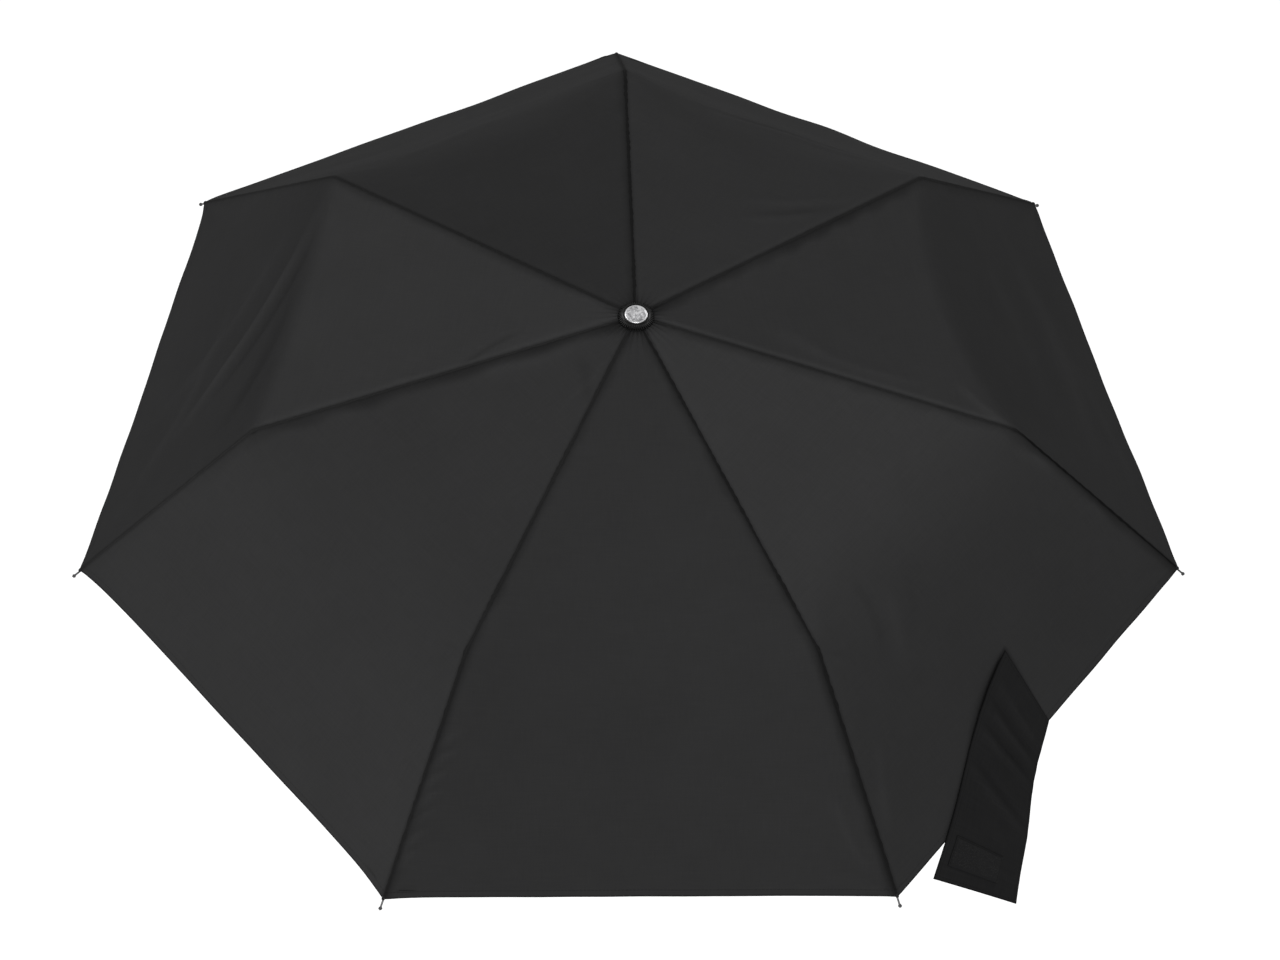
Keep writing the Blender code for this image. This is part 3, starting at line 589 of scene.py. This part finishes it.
def add_seams(index, cloth):
    """The sewn ridge over one rib, in the three runs that its rib pieces make."""
    angle = rib_angle(index)
    number = index + 1
    across = np.linspace(-1, 1, 7)
    runs = (
        ("inner", f"top_rib_{number}", SEAM_START_RADIUS, MIDDLE_RADIUS, INNER_SLOPE),
        ("middle", f"middle_rib_{number}", MIDDLE_RADIUS, KNEE_RADIUS, INNER_SLOPE),
        ("outer", f"outer_rib_{number}", KNEE_RADIUS, RIM_RADIUS - 0.0005, OUTER_SLOPE),
    )
    mitre = (INNER_SLOPE + OUTER_SLOPE) / 2
    for run, body, start, end, slope in runs:
        radius = np.linspace(start, end, int((end - start) / math.cos(slope) / SEAM_ROW_PITCH))
        slopes = np.full_like(radius, slope)
        if run == "middle":
            slopes[-1] = mitre
        if run == "outer":
            slopes[0] = mitre
        drop = np.tan(slopes) * math.tan(HALF_GORE)
        along = radius / math.cos(INNER_SLOPE)
        wander = 0.00030 * rolling(along, along, 0.030, 500 + index)
        beat = along / SEAM_BUMP_PITCH + 0.7 * rolling(along, along, 0.05, 520 + index)
        bumps = 0.5 + 0.5 * np.sin(2 * math.pi * beat)
        skirt = smooth((radius - KNEE_RADIUS + 0.015) / 0.030)
        fullness = blended(SEAM_FULLNESS[index], SKIRT_SEAM_FULLNESS[index], skirt)
        # Painted light and shade on the seam ridge, by rib, above the knee and below it
        tone = blended(SEAM_PAINTED_LIGHT[index], SKIRT_SEAM_PAINTED_LIGHT[index], skirt)
        width = SEAM_HALF_WIDTH * (0.80 + 0.35 * bumps) * fullness
        width = width * (1 + 0.40 * rolling(along, along, 0.110, 540 + index))
        width = width * (1 - 0.45 * smooth((radius - RIM_RADIUS + 0.030) / 0.030))
        rise = SEAM_HEIGHT * (0.75 + 0.25 * bumps)
        side = across[None, :] * width[:, None] + wander[:, None]
        above = rise[:, None] * (1 - across[None, :] ** 2) - drop[:, None] * np.abs(side) - 0.00012
        normal = np.sin(slopes)[:, None] * outward(angle) + np.cos(slopes)[:, None] * UP
        line = radius[:, None] * outward(angle) + cloth_height(radius, SHARPEST_KNEE)[:, None] * UP
        points = line[:, None, :] + side[..., None] * sideways(angle) + above[..., None] * normal[:, None, :]
        grid = grid_of(points, side, along[:, None], shade=tone[:, None])
        made = mesh_from_grids(f"seam_{number}_{run}", [grid], cloth)
        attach(made, body)
        if run != "outer":
            flatten(made)


# Turned pieces
def turned_grid(profile, sides, fins=0, depths=None):
    """A ring of points for each (radius, height), with teeth of the stated depths round it."""
    turn = np.linspace(0, 2 * math.pi, sides + 1)
    tooth = np.zeros_like(turn)
    if fins:
        tooth = smooth((np.cos(fins * turn) + 0.35) / 0.7) - 1.0
    depths = depths or [0.0] * len(profile)
    points = []
    for (radius, height), depth in zip(profile, depths):
        ring = np.maximum(radius + tooth * depth, 0.00002)
        points.append(np.stack([ring * np.cos(turn), ring * np.sin(turn), np.full_like(turn, height)], -1))
    return np.stack(points)


def add_cap(plastic, metal):
    """The cap over the hub: a finned black skirt and a bright disc with a raised rim."""
    disc = DISC_HIGH.x
    edge = CAP_HIGH.x
    top = CAP_HIGH.z
    foot = APEX_Z - 0.0019
    skirt = [
        (disc + 0.0003, top - 0.0014),
        (disc + 0.0003, top - 0.0003),
        (disc + 0.0006, top),
        (disc + 0.0012, top - 0.0001),
        (disc + 0.0018, top - 0.0005),
        (edge - 0.0026, top - 0.0013),
        (edge - 0.0014, top - 0.0020),
        (edge - 0.0004, top - 0.0027),
        (edge, top - 0.0034),
        (edge, foot + 0.0003),
        (edge - 0.0004, foot),
        (edge - 0.0050, foot + 0.0010),
    ]
    depths = [0, 0, 0, 0, 0, 0.0005, 0.0012, 0.0016, 0.0017, 0.0017, 0.0012, 0]
    fins = 50
    cap = mesh_from_grids("cap_skirt", [grid_of(turned_grid(skirt, fins * 8, fins, depths))], plastic)
    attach(cap, "upper_shaft")
    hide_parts("top_cap")
    crown = DISC_HIGH.z
    face = [
        (0.0, crown - 0.0002),
        (disc * 0.30, crown - 0.00022),
        (disc * 0.55, crown - 0.00030),
        (disc * 0.76, crown - 0.00045),
        (disc * 0.83, crown - 0.00050),
        (disc * 0.87, crown - 0.00030),
        (disc * 0.91, crown - 0.00018),
        (disc * 0.955, crown - 0.00022),
        (disc * 0.985, crown - 0.00050),
        (disc, crown - 0.00090),
        (disc, DISC_LOW.z),
    ]
    plate = mesh_from_grids("cap_plate", [grid_of(turned_grid(face, 96))], metal)
    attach(plate, "upper_shaft")
    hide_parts("cap_disc")


def add_tip_thread(index, thread):
    """The whipping that ties a corner of the cloth to its rib wire."""
    wire = frame["nodes"][f"outer_rib_{index + 1}"]
    tip = np.array(max((v.co for v in wire.data.vertices), key=lambda co: co.x**2 + co.y**2))
    run = down_rib(index, OUTER_SLOPE)
    corner = rib_point(index, RIM_RADIUS - 0.0010)
    past_corner = float((tip - corner) @ run)
    centre = tip - run * (past_corner - 0.0004)
    turns = 7
    profile = []
    for step in range(turns * 4 + 1):
        share = step / (turns * 4)
        ridge = 0.00012 * abs(math.sin(math.pi * share * turns))
        profile.append((0.00105 + ridge + 0.00035 * math.sin(math.pi * share), -0.0017 + 0.0034 * share))
    ends = [(0.0007, -0.0018), *profile, (0.0007, 0.0018)]
    grid = turned_grid(list(reversed(ends)), 20)
    turn = Vector(run).to_track_quat("Z", "Y").to_matrix()
    points = grid @ np.array(turn).T + centre
    made = mesh_from_grids(f"tip_thread_{index + 1}", [grid_of(points)], thread)
    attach(made, f"outer_rib_{index + 1}")


# The closing strap: its gore, its size, and its two edges as points on the gore's outer run
STRAP_GORE = 4
STRAP_WIDTH = 0.075
STRAP_LENGTH = 0.185
STRAP_THICKNESS = 0.0011
STRAP_ABOVE_CLOTH = 0.0024
STRAP_LEFT = ((0.0095, 0.0750), (-0.0280, 0.0640), (-0.0938, 0.0261), (-0.1670, -0.0140))
STRAP_RIGHT = (
    (0.0080, 0.0005),
    (-0.0103, -0.0096),
    (-0.0477, -0.0361),
    (-0.0758, -0.0652),
    (-0.1080, -0.0950),
)

# Its creases: how far down it, how much they slant, their width as a share of its length, and their height
STRAP_FOLDS = (
    (0.150, 0.05, 0.020, 0.0014),
    (0.215, 0.04, 0.016, -0.0012),
    (0.262, 0.04, 0.018, 0.0016),
    (0.320, 0.04, 0.016, -0.0013),
    (0.365, 0.04, 0.020, 0.0012),
    (0.520, 0.14, 0.018, -0.0010),
    (0.575, 0.14, 0.022, 0.0012),
    (0.860, 0.05, 0.020, 0.0008),
)
# How much painted light the strap gets per metre that its creases stand up, with painted shade where they
# sink
STRAP_PAINTED_LIGHT = 110


def edge_curve(corners, steps):
    """Evenly spaced points on a smooth line through these points."""
    corners = np.array(corners)
    reach = np.concatenate([[0], np.cumsum(np.linalg.norm(np.diff(corners, axis=0), axis=1))])
    wanted = np.linspace(0, reach[-1], steps)
    line = np.stack([np.interp(wanted, reach, corners[:, k]) for k in range(2)], -1)
    for _ in range(steps // 2):
        line[1:-1] = (line[:-2] + 2 * line[1:-1] + line[2:]) / 4
    return line


def outer_run_frame(index):
    """Origin at the middle of a gore's rim line, X along it, Y up the slope and Z out of the cloth."""
    near, far = rib_point(index, RIM_RADIUS), rib_point(index + 1, RIM_RADIUS)
    upper = (rib_point(index, KNEE_RADIUS) + rib_point(index + 1, KNEE_RADIUS)) / 2
    origin = (near + far) / 2
    along = unit(far - near)
    up_slope = unit(upper - origin)
    return origin, along, up_slope, np.cross(along, up_slope)


def strap_folds(share_long, share_wide):
    """How far the strap's creases stand up; they fade towards its edges."""
    folds = np.zeros_like(share_long)
    for at, slant, width, size in STRAP_FOLDS:
        folds = folds + size * np.exp(-(((share_long - at - slant * (share_wide - 0.5)) / width) ** 2))
    return folds * (0.15 + 0.85 * smooth(4 * share_wide * (1 - share_wide)))


def strap_surface(share_long, share_wide, lift):
    """A point of the strap: down its length, across its width, and this far off its middle layer."""
    steps = 61
    left, right = edge_curve(STRAP_LEFT, steps), edge_curve(STRAP_RIGHT, steps)
    at = np.linspace(0, 1, steps)
    flat = []
    for k in range(2):
        one = np.interp(share_long, at, left[:, k])
        two = np.interp(share_long, at, right[:, k])
        flat.append(one + (two - one) * share_wide)
    x, y = flat
    origin, along, up_slope, out = outer_run_frame(STRAP_GORE)
    past_hem = np.maximum(-(y + 0.004), 0)
    droop = 0.9 * past_hem**2 + 0.05 * past_hem
    folds = strap_folds(share_long, share_wide)
    waves = 0.0010 * np.sin(2 * math.pi * (1.7 * share_long + 0.30 * share_wide)) * smooth(share_long / 0.25)
    height = STRAP_ABOVE_CLOTH + folds + waves - droop + lift
    return origin + x[..., None] * along + y[..., None] * up_slope + height[..., None] * out


def closed_strip(name, long_range, wide_range, lift, thickness, steps, material):
    """A doubled strip of cloth on the strap's surface, with a rounded edge all round."""
    long_steps, wide_steps = steps
    share_long = np.linspace(*long_range, long_steps)[:, None]
    share_wide = np.linspace(*wide_range, wide_steps)[None, :]
    share_long, share_wide = np.broadcast_arrays(share_long, share_wide)
    top = strap_surface(share_long, share_wide, lift + thickness / 2)
    low = strap_surface(share_long, share_wide, lift - thickness / 2)
    length = STRAP_LENGTH * (share_long - long_range[0])
    width = STRAP_WIDTH * (share_wide - wide_range[0])
    far_side = STRAP_WIDTH * (wide_range[1] - wide_range[0]) - width
    far_end = STRAP_LENGTH * (long_range[1] - long_range[0]) - length
    edge = np.minimum(np.minimum(width, far_side), np.minimum(far_end, length + 0.0001))
    rim = np.concatenate(
        [
            np.arange(wide_steps),
            np.arange(1, long_steps) * wide_steps + wide_steps - 1,
            (long_steps - 1) * wide_steps + np.arange(wide_steps - 2, -1, -1),
            np.arange(long_steps - 2, 0, -1) * wide_steps,
        ]
    )
    count = long_steps * wide_steps
    faces = grid_faces(long_steps, wide_steps)
    under = [tuple(reversed([corner + count for corner in face])) for face in faces]
    wall = [(a, b, b + count, a + count) for a, b in zip(rim, np.roll(rim, -1))]
    vertices = np.concatenate([top.reshape(-1, 3), low.reshape(-1, 3)])
    mesh = bpy.data.meshes.new(name)
    mesh.from_pydata(vertices.tolist(), [], [*faces, *under, *[tuple(map(int, face)) for face in wall]])
    mesh.shade_smooth()
    mesh.materials.append(material)
    # Painted light on the strap's crease ridges and painted shade in their hollows
    shade = 1 + STRAP_PAINTED_LIGHT * strap_folds(share_long, share_wide)
    one_side = {"across": width, "down": length, "seam": edge + 0.0015, "hem": edge, "shade": shade}
    add_measures(mesh, {key: np.tile(values.ravel(), 2) for key, values in one_side.items()})
    made = linked(name, mesh)
    bevel = made.modifiers.new("Edge", "BEVEL")
    bevel.width = thickness * 0.3
    bevel.segments = 2
    bevel.limit_method = "ANGLE"
    bevel.angle_limit = math.radians(50)
    return made


def add_strap(cloth, tape):
    """The strap on its gore's hem, and the patch of hook tape near its free end."""
    strap = closed_strip("strap_band", (0, 1), (0, 1), 0.0, STRAP_THICKNESS, (90, 44), cloth)
    patch = closed_strip("strap_tape", (0.80, 0.93), (0.10, 0.72), 0.00095, 0.0008, (16, 40), tape)
    for made, node, slot in ((strap, "closure_strap", "strap_cloth"), (patch, "strap_patch", "hook_tape")):
        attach(made, f"outer_rib_{STRAP_GORE + 1}")
        flatten(made)
        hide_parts(node)


# Materials
def new_material(name):
    made = bpy.data.materials.new(name)
    made.use_nodes = True
    return made, made.node_tree, made.node_tree.nodes["Principled BSDF"]


def feed(tree, node, inputs):
    """Give a node its inputs; each is a number, a colour or another node's output."""
    for key, value in inputs.items():
        if isinstance(value, bpy.types.NodeSocket):
            tree.links.new(value, node.inputs[key])
        else:
            node.inputs[key].default_value = value


def add_node(tree, kind, inputs=None, **settings):
    """A node with its settings and its inputs."""
    node = tree.nodes.new(kind)
    for key, value in settings.items():
        setattr(node, key, value)
    feed(tree, node, inputs or {})
    return node


def object_point(tree):
    return add_node(tree, "ShaderNodeTexCoord").outputs["Object"]


def measure(tree, key):
    """One of the cloth measures that a mesh carries as an attribute."""
    return add_node(tree, "ShaderNodeAttribute", attribute_name=key).outputs["Fac"]


def math_node(tree, operation, one, two=0.0):
    return add_node(tree, "ShaderNodeMath", {0: one, 1: two}, operation=operation).outputs[0]


def blend_of(tree, one, two, share):
    """Two values mixed: this share of the first, and the rest of the second."""
    parts = [math_node(tree, "MULTIPLY", value, part) for value, part in ((one, share), (two, 1 - share))]
    return math_node(tree, "ADD", *parts)


def remap(tree, value, low, high, to_low, to_high, curve="LINEAR"):
    inputs = {"Value": value, "From Min": low, "From Max": high, "To Min": to_low, "To Max": to_high}
    node = add_node(tree, "ShaderNodeMapRange", inputs, clamp=True, interpolation_type=curve)
    return node.outputs["Result"]


def scaled(tree, vector, scale):
    return add_node(tree, "ShaderNodeMapping", {"Vector": vector, "Scale": scale}).outputs["Vector"]


def noise(tree, vector, scale, detail=3.0, roughness=0.55):
    inputs = {"Vector": vector, "Scale": scale, "Detail": detail, "Roughness": roughness}
    return add_node(tree, "ShaderNodeTexNoise", inputs).outputs["Fac"]


def tinted(tree, factor, dark, light):
    """A colour between two, by the factor."""
    mix = add_node(tree, "ShaderNodeMix", data_type="RGBA", clamp_factor=True)
    feed(tree, mix, {0: factor, 6: (*dark, 1), 7: (*light, 1)})
    return mix.outputs[2]


def darkened(tree, colour, factor):
    mix = add_node(tree, "ShaderNodeMix", data_type="RGBA", blend_type="MULTIPLY")
    feed(tree, mix, {0: 1.0, 6: colour, 7: factor})
    return mix.outputs[2]


def bump(tree, height, distance, strength, before=None):
    inputs = {"Height": height, "Distance": distance, "Strength": strength}
    if before is not None:
        inputs["Normal"] = before
    return add_node(tree, "ShaderNodeBump", inputs).outputs["Normal"]


def weave_height(tree, vector, pitch):
    """Threads over and under each other, one each this far, as a height from 0 to 1."""
    scale = 2 * math.pi / (20 * pitch)
    waves = []
    for direction in ("X", "Y"):
        inputs = {"Vector": vector, "Scale": scale}
        wave = add_node(tree, "ShaderNodeTexWave", inputs, bands_direction=direction)
        waves.append(wave.outputs["Fac"])
    return math_node(tree, "MULTIPLY", *waves)


def dashes(tree, distance, along, line, half_width, stitch):
    """A dashed line of stitches at this distance from an edge, as a mask."""
    off = math_node(tree, "ABSOLUTE", math_node(tree, "SUBTRACT", distance, line))
    near = remap(tree, off, half_width * 0.6, half_width, 1.0, 0.0)
    turn = math_node(tree, "MULTIPLY", along, 2 * math.pi / stitch)
    on = remap(tree, math_node(tree, "SINE", turn), -0.55, -0.25, 0.0, 1.0)
    return math_node(tree, "MULTIPLY", near, on)


def cloth_material(name, dark, light, pitch, sheen, edge_shade, stitches):
    """Plain-woven cloth: threads, slubs and soft mottling, with painted shade by its seams and at its edge,
    with stitching at its hem.

    The pitch is that of its threads. The stitches are how far their line is from the edge, and their pitch.
    """
    made, tree, shader = new_material(name)
    vector = add_node(tree, "ShaderNodeUVMap", uv_map="cloth").outputs["UV"]
    split = add_node(tree, "ShaderNodeSeparateXYZ", {"Vector": vector})
    hem = measure(tree, "hem")
    where = object_point(tree)
    weave = weave_height(tree, vector, pitch)
    slubs = noise(tree, scaled(tree, vector, (1.0, 0.06, 1.0)), 900.0, 2.0)
    picks = noise(tree, scaled(tree, vector, (0.05, 1.0, 1.0)), 700.0, 2.0)
    mottle = noise(tree, where, 14.0, 4.0)
    fine = blend_of(tree, slubs, picks, 0.5)
    mixed = blend_of(tree, mottle, fine, 0.3)
    colour = tinted(tree, remap(tree, mixed, 0.32, 0.68, 0.0, 1.0), dark, light)
    seam_painted_shade = remap(tree, measure(tree, "seam"), 0.0, 0.0040, 0.66, 1.0, "SMOOTHSTEP")
    hem_painted_shade = remap(tree, hem, 0.0, 0.0016, edge_shade, 1.0, "SMOOTHSTEP")
    # Painted shade by the seams and at the edge, and the painted light and shade that the mesh carries
    for factor in (seam_painted_shade, hem_painted_shade, measure(tree, "shade")):
        colour = darkened(tree, colour, factor)
    thread = dashes(tree, hem, split.outputs["X"], stitches[0], 0.00045, stitches[1])
    colour = darkened(tree, colour, remap(tree, thread, 0.0, 1.0, 1.0, 0.85))
    threads = bump(tree, weave, 0.00006, 0.55)
    uneven = bump(tree, fine, 0.00005, 0.35, threads)
    sewn = bump(tree, math_node(tree, "MULTIPLY", thread, -1.0), 0.00025, 0.8, uneven)
    worn = remap(tree, mottle, 0.3, 0.7, 0.60, 0.72)
    feed(tree, shader, {"Base Color": colour, "Roughness": worn, "Normal": sewn, "Specular IOR Level": 0.0})
    feed(tree, shader, {"Sheen Weight": sheen, "Sheen Roughness": 0.45})
    return made


def plastic_material(name, dark, light, roughness, grain, gloss):
    """Moulded plastic: a fine spark texture with rubbed, slightly shinier patches."""
    made, tree, shader = new_material(name)
    where = object_point(tree)
    spark = noise(tree, where, grain, 2.0, 0.6)
    patches = noise(tree, where, 55.0, 4.0)
    colour = tinted(tree, remap(tree, patches, 0.45, 0.72, 0.0, 1.0), dark, light)
    dulled = remap(tree, patches, 0.3, 0.75, roughness + 0.08, roughness - 0.08)
    feed(tree, shader, {"Base Color": colour, "Roughness": dulled, "Specular IOR Level": gloss})
    feed(tree, shader, {"Normal": bump(tree, spark, 0.00008, 0.45)})
    return made


def steel_material(name, dark, light, roughness, metallic, scratch_scale):
    """Drawn steel: fine lines along it, faint smears and small specks of wear."""
    made, tree, shader = new_material(name)
    where = object_point(tree)
    lines = noise(tree, scaled(tree, where, scratch_scale), 1.0, 3.0, 0.65)
    smears = noise(tree, where, 40.0, 3.0)
    specks = noise(tree, where, 900.0, 2.0, 0.7)
    worn = remap(tree, specks, 0.66, 0.74, 0.0, 0.25)
    tone = blend_of(tree, lines, smears, 0.6)
    tone = math_node(tree, "ADD", remap(tree, tone, 0.35, 0.65, 0.0, 0.8), worn)
    dulled = remap(tree, smears, 0.3, 0.7, roughness - 0.06, roughness + 0.10)
    feed(tree, shader, {"Base Color": tinted(tree, tone, dark, light), "Roughness": dulled})
    feed(tree, shader, {"Normal": bump(tree, lines, 0.00001, 0.12), "Metallic": metallic})
    return made


def disc_material(name, dark, light):
    """A satin silver disc: crossed rubbing marks, blotches, and a polished rim, less rough and with a painted
    highlight.
    """
    made, tree, shader = new_material(name)
    where = object_point(tree)
    split = add_node(tree, "ShaderNodeSeparateXYZ", {"Vector": where})
    flat = add_node(tree, "ShaderNodeCombineXYZ", {"X": split.outputs["X"], "Y": split.outputs["Y"]})
    length = add_node(tree, "ShaderNodeVectorMath", {0: flat.outputs["Vector"]}, operation="LENGTH")
    from_axis = length.outputs["Value"]
    blotches = noise(tree, where, 380.0, 4.0, 0.8)
    grain = noise(tree, where, 2600.0, 3.0, 0.7)
    one_way = noise(tree, scaled(tree, where, (900.0, 6000.0, 900.0)), 1.0, 3.0, 0.7)
    other_way = noise(tree, scaled(tree, where, (5200.0, 700.0, 900.0)), 1.0, 3.0, 0.7)
    marks = blend_of(tree, one_way, other_way, 0.5)
    tone = remap(tree, blend_of(tree, blotches, marks, 0.7), 0.42, 0.60, 0.0, 1.0)
    rim = remap(tree, from_axis, DISC_HIGH.x * 0.84, DISC_HIGH.x * 0.90, 0.0, 1.0, "SMOOTHSTEP")
    # The polished rim is painted lighter all round: a painted highlight
    bright = math_node(tree, "MAXIMUM", tone, math_node(tree, "MULTIPLY", rim, 0.75))
    polished = remap(tree, rim, 0.0, 1.0, 0.52, 0.36)
    rough = bump(tree, blotches, 0.00012, 0.6)
    feed(tree, shader, {"Base Color": tinted(tree, bright, dark, light), "Roughness": polished})
    feed(tree, shader, {"Normal": bump(tree, grain, 0.00003, 0.5, rough), "Metallic": 0.85})
    return made


def tape_material(name, dark, light):
    """Hook tape: rows of tiny stiff hooks on a woven ground."""
    made, tree, shader = new_material(name)
    vector = add_node(tree, "ShaderNodeUVMap", uv_map="cloth").outputs["UV"]
    split = add_node(tree, "ShaderNodeSeparateXYZ", {"Vector": vector})
    edge = measure(tree, "hem")
    hooks = add_node(tree, "ShaderNodeTexVoronoi", {"Vector": vector, "Scale": 900.0, "Randomness": 0.45})
    tops = remap(tree, hooks.outputs["Distance"], 0.05, 0.45, 1.0, 0.0)
    inside = remap(tree, edge, 0.0015, 0.0022, 0.0, 1.0)
    pile = math_node(tree, "MULTIPLY", tops, inside)
    thread = dashes(tree, edge, split.outputs["Y"], 0.0012, 0.0005, 0.0026)
    colour = tinted(tree, pile, dark, light)
    colour = darkened(tree, colour, remap(tree, thread, 0.0, 1.0, 1.0, 0.55))
    dulled = remap(tree, pile, 0.0, 1.0, 0.85, 0.55)
    feed(tree, shader, {"Base Color": colour, "Roughness": dulled, "Specular IOR Level": 0.1})
    feed(tree, shader, {"Normal": bump(tree, pile, 0.0004, 0.9)})
    return made


def thread_material(name, dark, light):
    """Twisted black thread, laid round and round."""
    made, tree, shader = new_material(name)
    where = object_point(tree)
    strands = noise(tree, where, 3200.0, 3.0, 0.65)
    dulled = remap(tree, strands, 0.3, 0.7, 0.65, 0.85)
    feed(tree, shader, {"Base Color": tinted(tree, strands, dark, light), "Roughness": dulled})
    feed(tree, shader, {"Normal": bump(tree, strands, 0.0001, 0.8), "Specular IOR Level": 0.1})
    return made


def dress_frame(shaft, coated, grip, plastic):
    """Better materials for the CAD nodes that stay, by what they are."""
    for name, node in frame["nodes"].items():
        if name.endswith(("_tube", "_wire", "_spring")):
            chosen = shaft
        elif name.startswith(("top_rib", "middle_rib", "outer_rib", "stretcher")):
            chosen = coated
        elif name == "handle_grip":
            chosen = grip
        else:
            chosen = plastic
        for slot in node.material_slots:
            slot.material = chosen


# Stage, light and camera
def floor_material():
    made, tree, shader = new_material("floor")
    where = object_point(tree)
    soft = noise(tree, where, 1.5, 3.0)
    colour = tinted(tree, soft, *FLOOR_COLOURS)
    feed(tree, shader, {"Base Color": colour, "Roughness": 0.9, "Specular IOR Level": 0.1})
    feed(tree, shader, {"Emission Color": (1, 1, 1, 1), "Emission Strength": FLOOR_GLOW})
    return made


def add_floor():
    signs = ((-1, -1), (1, -1), (1, 1), (-1, 1))
    corners = [(x * FLOOR_HALF_WIDTH, y * FLOOR_HALF_WIDTH, FLOOR_Z) for x, y in signs]
    mesh = bpy.data.meshes.new("floor")
    mesh.from_pydata(corners, [], [(0, 1, 2, 3)])
    mesh.materials.append(floor_material())
    linked("floor", mesh)


def add_softbox(name, azimuth, elevation, level):
    """A square softbox this far round and up from the hub, lighting a facing surface to this level."""
    azimuth, elevation = math.radians(azimuth), math.radians(elevation)
    lamp = bpy.data.lights.new(name, "AREA")
    lamp.shape = "SQUARE"
    lamp.size = SOFTBOX_SIZE
    lamp.energy = level * (math.pi * SOFTBOX_DISTANCE) ** 2
    made = linked(name, lamp)
    away = Vector(outward(azimuth) * math.cos(elevation) + UP * math.sin(elevation))
    made.location = Vector((0, 0, APEX_Z - 0.1)) + away * SOFTBOX_DISTANCE
    made.rotation_mode = "QUATERNION"
    made.rotation_quaternion = (-away).to_track_quat("-Z", "Y")


def add_light():
    world = bpy.data.worlds.new("studio")
    world.use_nodes = True
    tree = world.node_tree
    feed(tree, tree.nodes["Background"], {"Color": (1, 1, 1, 1), "Strength": AMBIENT})
    bpy.context.scene.world = world
    for name, (azimuth, elevation, level) in SOFTBOXES.items():
        add_softbox(name, azimuth, elevation, level)


def add_camera():
    """A camera turned about the view line, looking past the hub by the stated offsets."""
    azimuth, elevation, roll = CAMERA_AZIMUTH, CAMERA_ELEVATION, CAMERA_ROLL
    forward = Vector(sideways(azimuth) * math.cos(elevation) - UP * math.sin(elevation))
    level = Vector(outward(azimuth))
    upright = level.cross(forward)
    right = math.cos(roll) * level + math.sin(roll) * upright
    up = -math.sin(roll) * level + math.cos(roll) * upright
    lens = bpy.data.cameras.new("camera")
    lens.sensor_width = 36
    lens.lens = CAMERA_LENS
    lens.clip_end = 100
    made = linked("camera", lens)
    place = Vector((0, 0, APEX_Z)) - forward * CAMERA_DISTANCE + right * CAMERA_ASIDE - up * CAMERA_BELOW
    turn = Matrix((right, up, -forward)).transposed().to_4x4()
    made.matrix_world = Matrix.Translation(place) @ turn
    bpy.context.scene.camera = made


def build():
    cloth = cloth_material("canopy_cloth", *CANOPY_COLOURS, 0.00045, 0.015, 0.45, (0.0052, 0.0030))
    seam_cloth = cloth_material("seam_cloth", *SEAM_COLOURS, 0.00045, 0.01, 1.0, (0.6, 0.0030))
    strap_cloth = cloth_material("strap_cloth", *STRAP_COLOURS, 0.00050, 0.01, 0.85, (0.0030, 0.0030))
    tape = tape_material("hook_tape", *TAPE_COLOURS)
    thread = thread_material("thread", *THREAD_COLOURS)
    plastic = plastic_material("black_plastic", *PLASTIC_COLOURS, 0.34, 2200.0, 0.16)
    grip = plastic_material("grip_rubber", *GRIP_COLOURS, 0.62, 1400.0, 0.35)
    shaft = steel_material("plated_steel", *PLATED_COLOURS, 0.34, 0.85, (1400.0, 1400.0, 18.0))
    coated = steel_material("coated_steel", *COATED_COLOURS, 0.38, 0.45, (500.0, 500.0, 500.0))
    silver = disc_material("brushed_silver", *SILVER_COLOURS)
    dress_frame(shaft, coated, grip, plastic)
    for index in range(RIB_COUNT):
        add_gore(index, cloth)
        add_seams(index, seam_cloth)
        add_tip_thread(index, thread)
    add_cap(plastic, silver)
    add_strap(strap_cloth, tape)
    add_floor()
    add_light()
    add_camera()
    bpy.context.scene.view_settings.view_transform = "Standard"


build()
